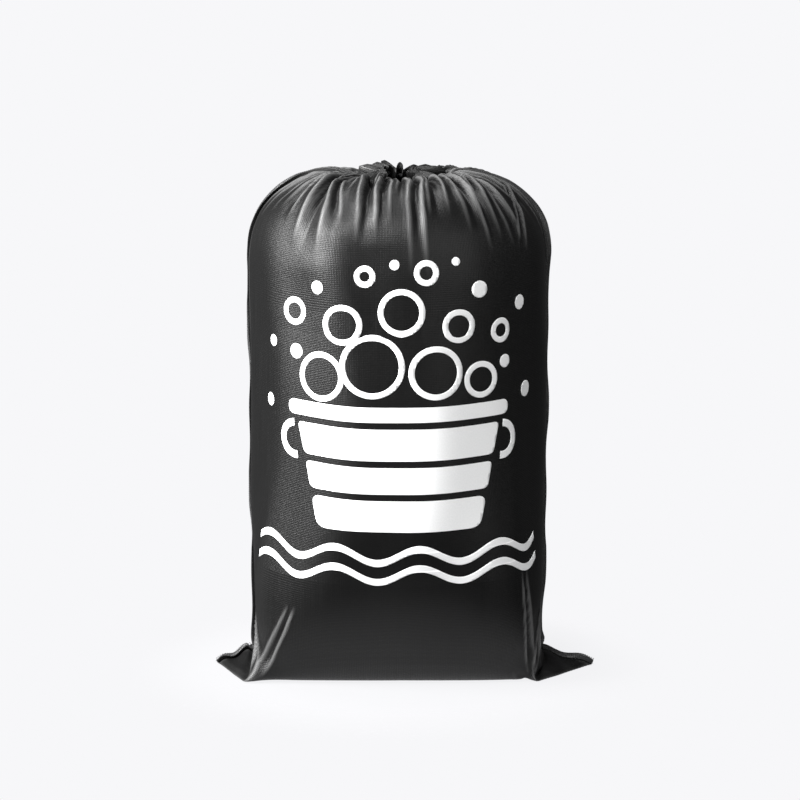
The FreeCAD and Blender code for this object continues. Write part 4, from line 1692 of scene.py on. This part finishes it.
def add_washing():
    """The load, a little smaller, with lumps where clothes lie across each other."""
    points = LOAD_POINTS.copy()
    centre = points.mean(axis=0)
    points = centre * [0, 0, 1] + (points - centre * [0, 0, 1]) * DRAWN_IN_BY
    x, y, z = points.T
    lumps = np.sin(x / (31 * MM)) * np.sin(y / (27 * MM) + z / (40 * MM))
    points *= (1 + LUMP * lumps)[:, None]
    made = add_mesh("washing", points, LOAD_FACES)
    finish_piece(made, TOWELLING)
    welded = bmesh.new()
    welded.from_mesh(made.data)
    bmesh.ops.remove_doubles(welded, verts=welded.verts, dist=WASHING_WELD)
    bmesh.ops.recalc_face_normals(welded, faces=welded.faces)
    welded.to_mesh(made.data)
    welded.free()
    return made


washing = add_washing()
print("washing:", len(washing.data.polygons), "faces")

# %% [markdown]
# ## Floor and light
#
# A pale floor fades into the backdrop. A large soft light on the left draws the silky
# highlight down the left of the bag, and a faint strip on the right only marks its edge.
# A broad, dim fill lifts the right of the print, one light from above models the crown,
# and one from high in front lights the folds and the white ink.

# %% Floor and backdrop
BACKDROP = "#f7f7f9"
FLOOR_SIZE = 8.0
FADE_FROM = 0.21
FADE_TO = 0.36
FLOOR_GLOW = 0.92
ROOM_GLOW = 0.07


def add_floor():
    """A pale floor that thins out into the backdrop."""
    half = FLOOR_SIZE / 2
    corners = [(-half, -half, 0), (half, -half, 0), (half, half, 0), (-half, half, 0)]
    floor = add_mesh("floor", corners, [(0, 1, 2, 3)])
    material, tree, output = new_material("pale studio floor")
    place = add_node(tree, "ShaderNodeTexCoord").outputs["Object"]
    distance = add_node(tree, "ShaderNodeVectorMath", {"operation": "LENGTH"}, {0: place})
    fade = add_node(
        tree,
        "ShaderNodeMapRange",
        {"interpolation_type": "SMOOTHSTEP"},
        {"Value": distance.outputs["Value"], "From Min": FADE_FROM, "From Max": FADE_TO},
    )
    paint = add_node(tree, "ShaderNodeBsdfDiffuse", inputs={"Color": linear("#b8b8ba")})
    glow = add_node(tree, "ShaderNodeEmission", inputs={"Color": linear(BACKDROP), "Strength": 1.0})
    near = add_node(
        tree,
        "ShaderNodeMixShader",
        inputs={0: FLOOR_GLOW, 1: paint.outputs["BSDF"], 2: glow.outputs["Emission"]},
    )
    clear = add_node(tree, "ShaderNodeBsdfTransparent")
    mix = add_node(
        tree,
        "ShaderNodeMixShader",
        inputs={0: fade.outputs["Result"], 1: near.outputs["Shader"], 2: clear.outputs["BSDF"]},
    )
    tree.links.new(mix.outputs["Shader"], output.inputs["Surface"])
    floor.data.materials.append(material)
    return floor


def light_the_room():
    """A backdrop that the camera sees as near white and that lights the bag dimly."""
    world = bpy.data.worlds.new("studio")
    bpy.context.scene.world = world
    world.use_nodes = True
    tree = world.node_tree
    tree.nodes.clear()
    output = tree.nodes.new("ShaderNodeOutputWorld")
    seen = add_node(tree, "ShaderNodeLightPath").outputs["Is Camera Ray"]
    bright, dim = [
        add_node(tree, "ShaderNodeBackground", inputs={"Color": linear(BACKDROP), "Strength": glow})
        for glow in (1.0, ROOM_GLOW)
    ]
    mix = add_node(
        tree,
        "ShaderNodeMixShader",
        inputs={0: seen, 1: dim.outputs["Background"], 2: bright.outputs["Background"]},
    )
    tree.links.new(mix.outputs["Shader"], output.inputs["Surface"])


def add_light(name, place, size, power, aim):
    """A soft rectangular light."""
    data = bpy.data.lights.new(name, "AREA")
    data.shape = "RECTANGLE"
    data.size, data.size_y = size
    data.energy = power
    light = bpy.data.objects.new(name, data)
    bpy.context.collection.objects.link(light)
    light.location = place
    light.rotation_euler = (Vector(place) - Vector(aim)).to_track_quat("Z", "Y").to_euler()
    return light


add_floor()
light_the_room()
BAG_MIDDLE = (0, 0, 0.32)
# Each light: name, place, width and height in metres, and power in watts.
LIGHTS = [
    ("left softbox", (-2.15, -0.75, 1.35), (1.2, 1.5), 260),
    ("right softbox", (2.2, -0.2, 0.9), (0.3, 1.2), 2),
    ("right fill", (1.6, -2.2, 1.1), (1.8, 1.8), 27),
    ("top softbox", (-0.3, 0.1, 2.4), (0.95, 0.95), 28),
    ("front softbox", (-0.8, -2.2, 2.5), (0.8, 0.65), 76),
]
for settings in LIGHTS:
    add_light(*settings, BAG_MIDDLE)
bpy.context.scene.view_settings.view_transform = "Standard"
print("lit by", len(LIGHTS), "lights")

# %% [markdown]
# ## Tie the pieces to the frame
#
# Nothing on this bag turns or slides, so every piece rides on the one body. Each piece
# says which CAD solid it stands for and which of the record's finishes it has.

# %% Ride and replace
PIECES = [
    (front_cloth, "front_panel", "bag_fabric"),
    (back_cloth, "back_panel", "bag_fabric"),
    (front_hem, "front_casing", "casing_fabric"),
    (back_hem, "back_casing", "casing_fabric"),
    (draw_cord, "drawcord", "drawcord"),
    (left_overlock, "left_side_seam", "seam_thread"),
    (right_overlock, "right_side_seam", "seam_thread"),
    (left_stitches, "left_seam_stitching", "seam_thread"),
    (right_stitches, "right_seam_stitching", "seam_thread"),
    (bottom_overlock, "bottom_seam", "seam_thread"),
    (bottom_stitches, "bottom_stitching", "seam_thread"),
    (front_tunnel_stitches, "front_casing_stitching", "seam_thread"),
    (back_tunnel_stitches, "back_casing_stitching", "seam_thread"),
    (wash_day_print, "front_print", "white_print"),
    (washing, "laundry_load", "laundry"),
]
for piece, node, finish in PIECES:
    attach(piece, "root")
    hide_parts(node)

print(len(PIECES), "pieces stand for", len(PIECES), "CAD solids")
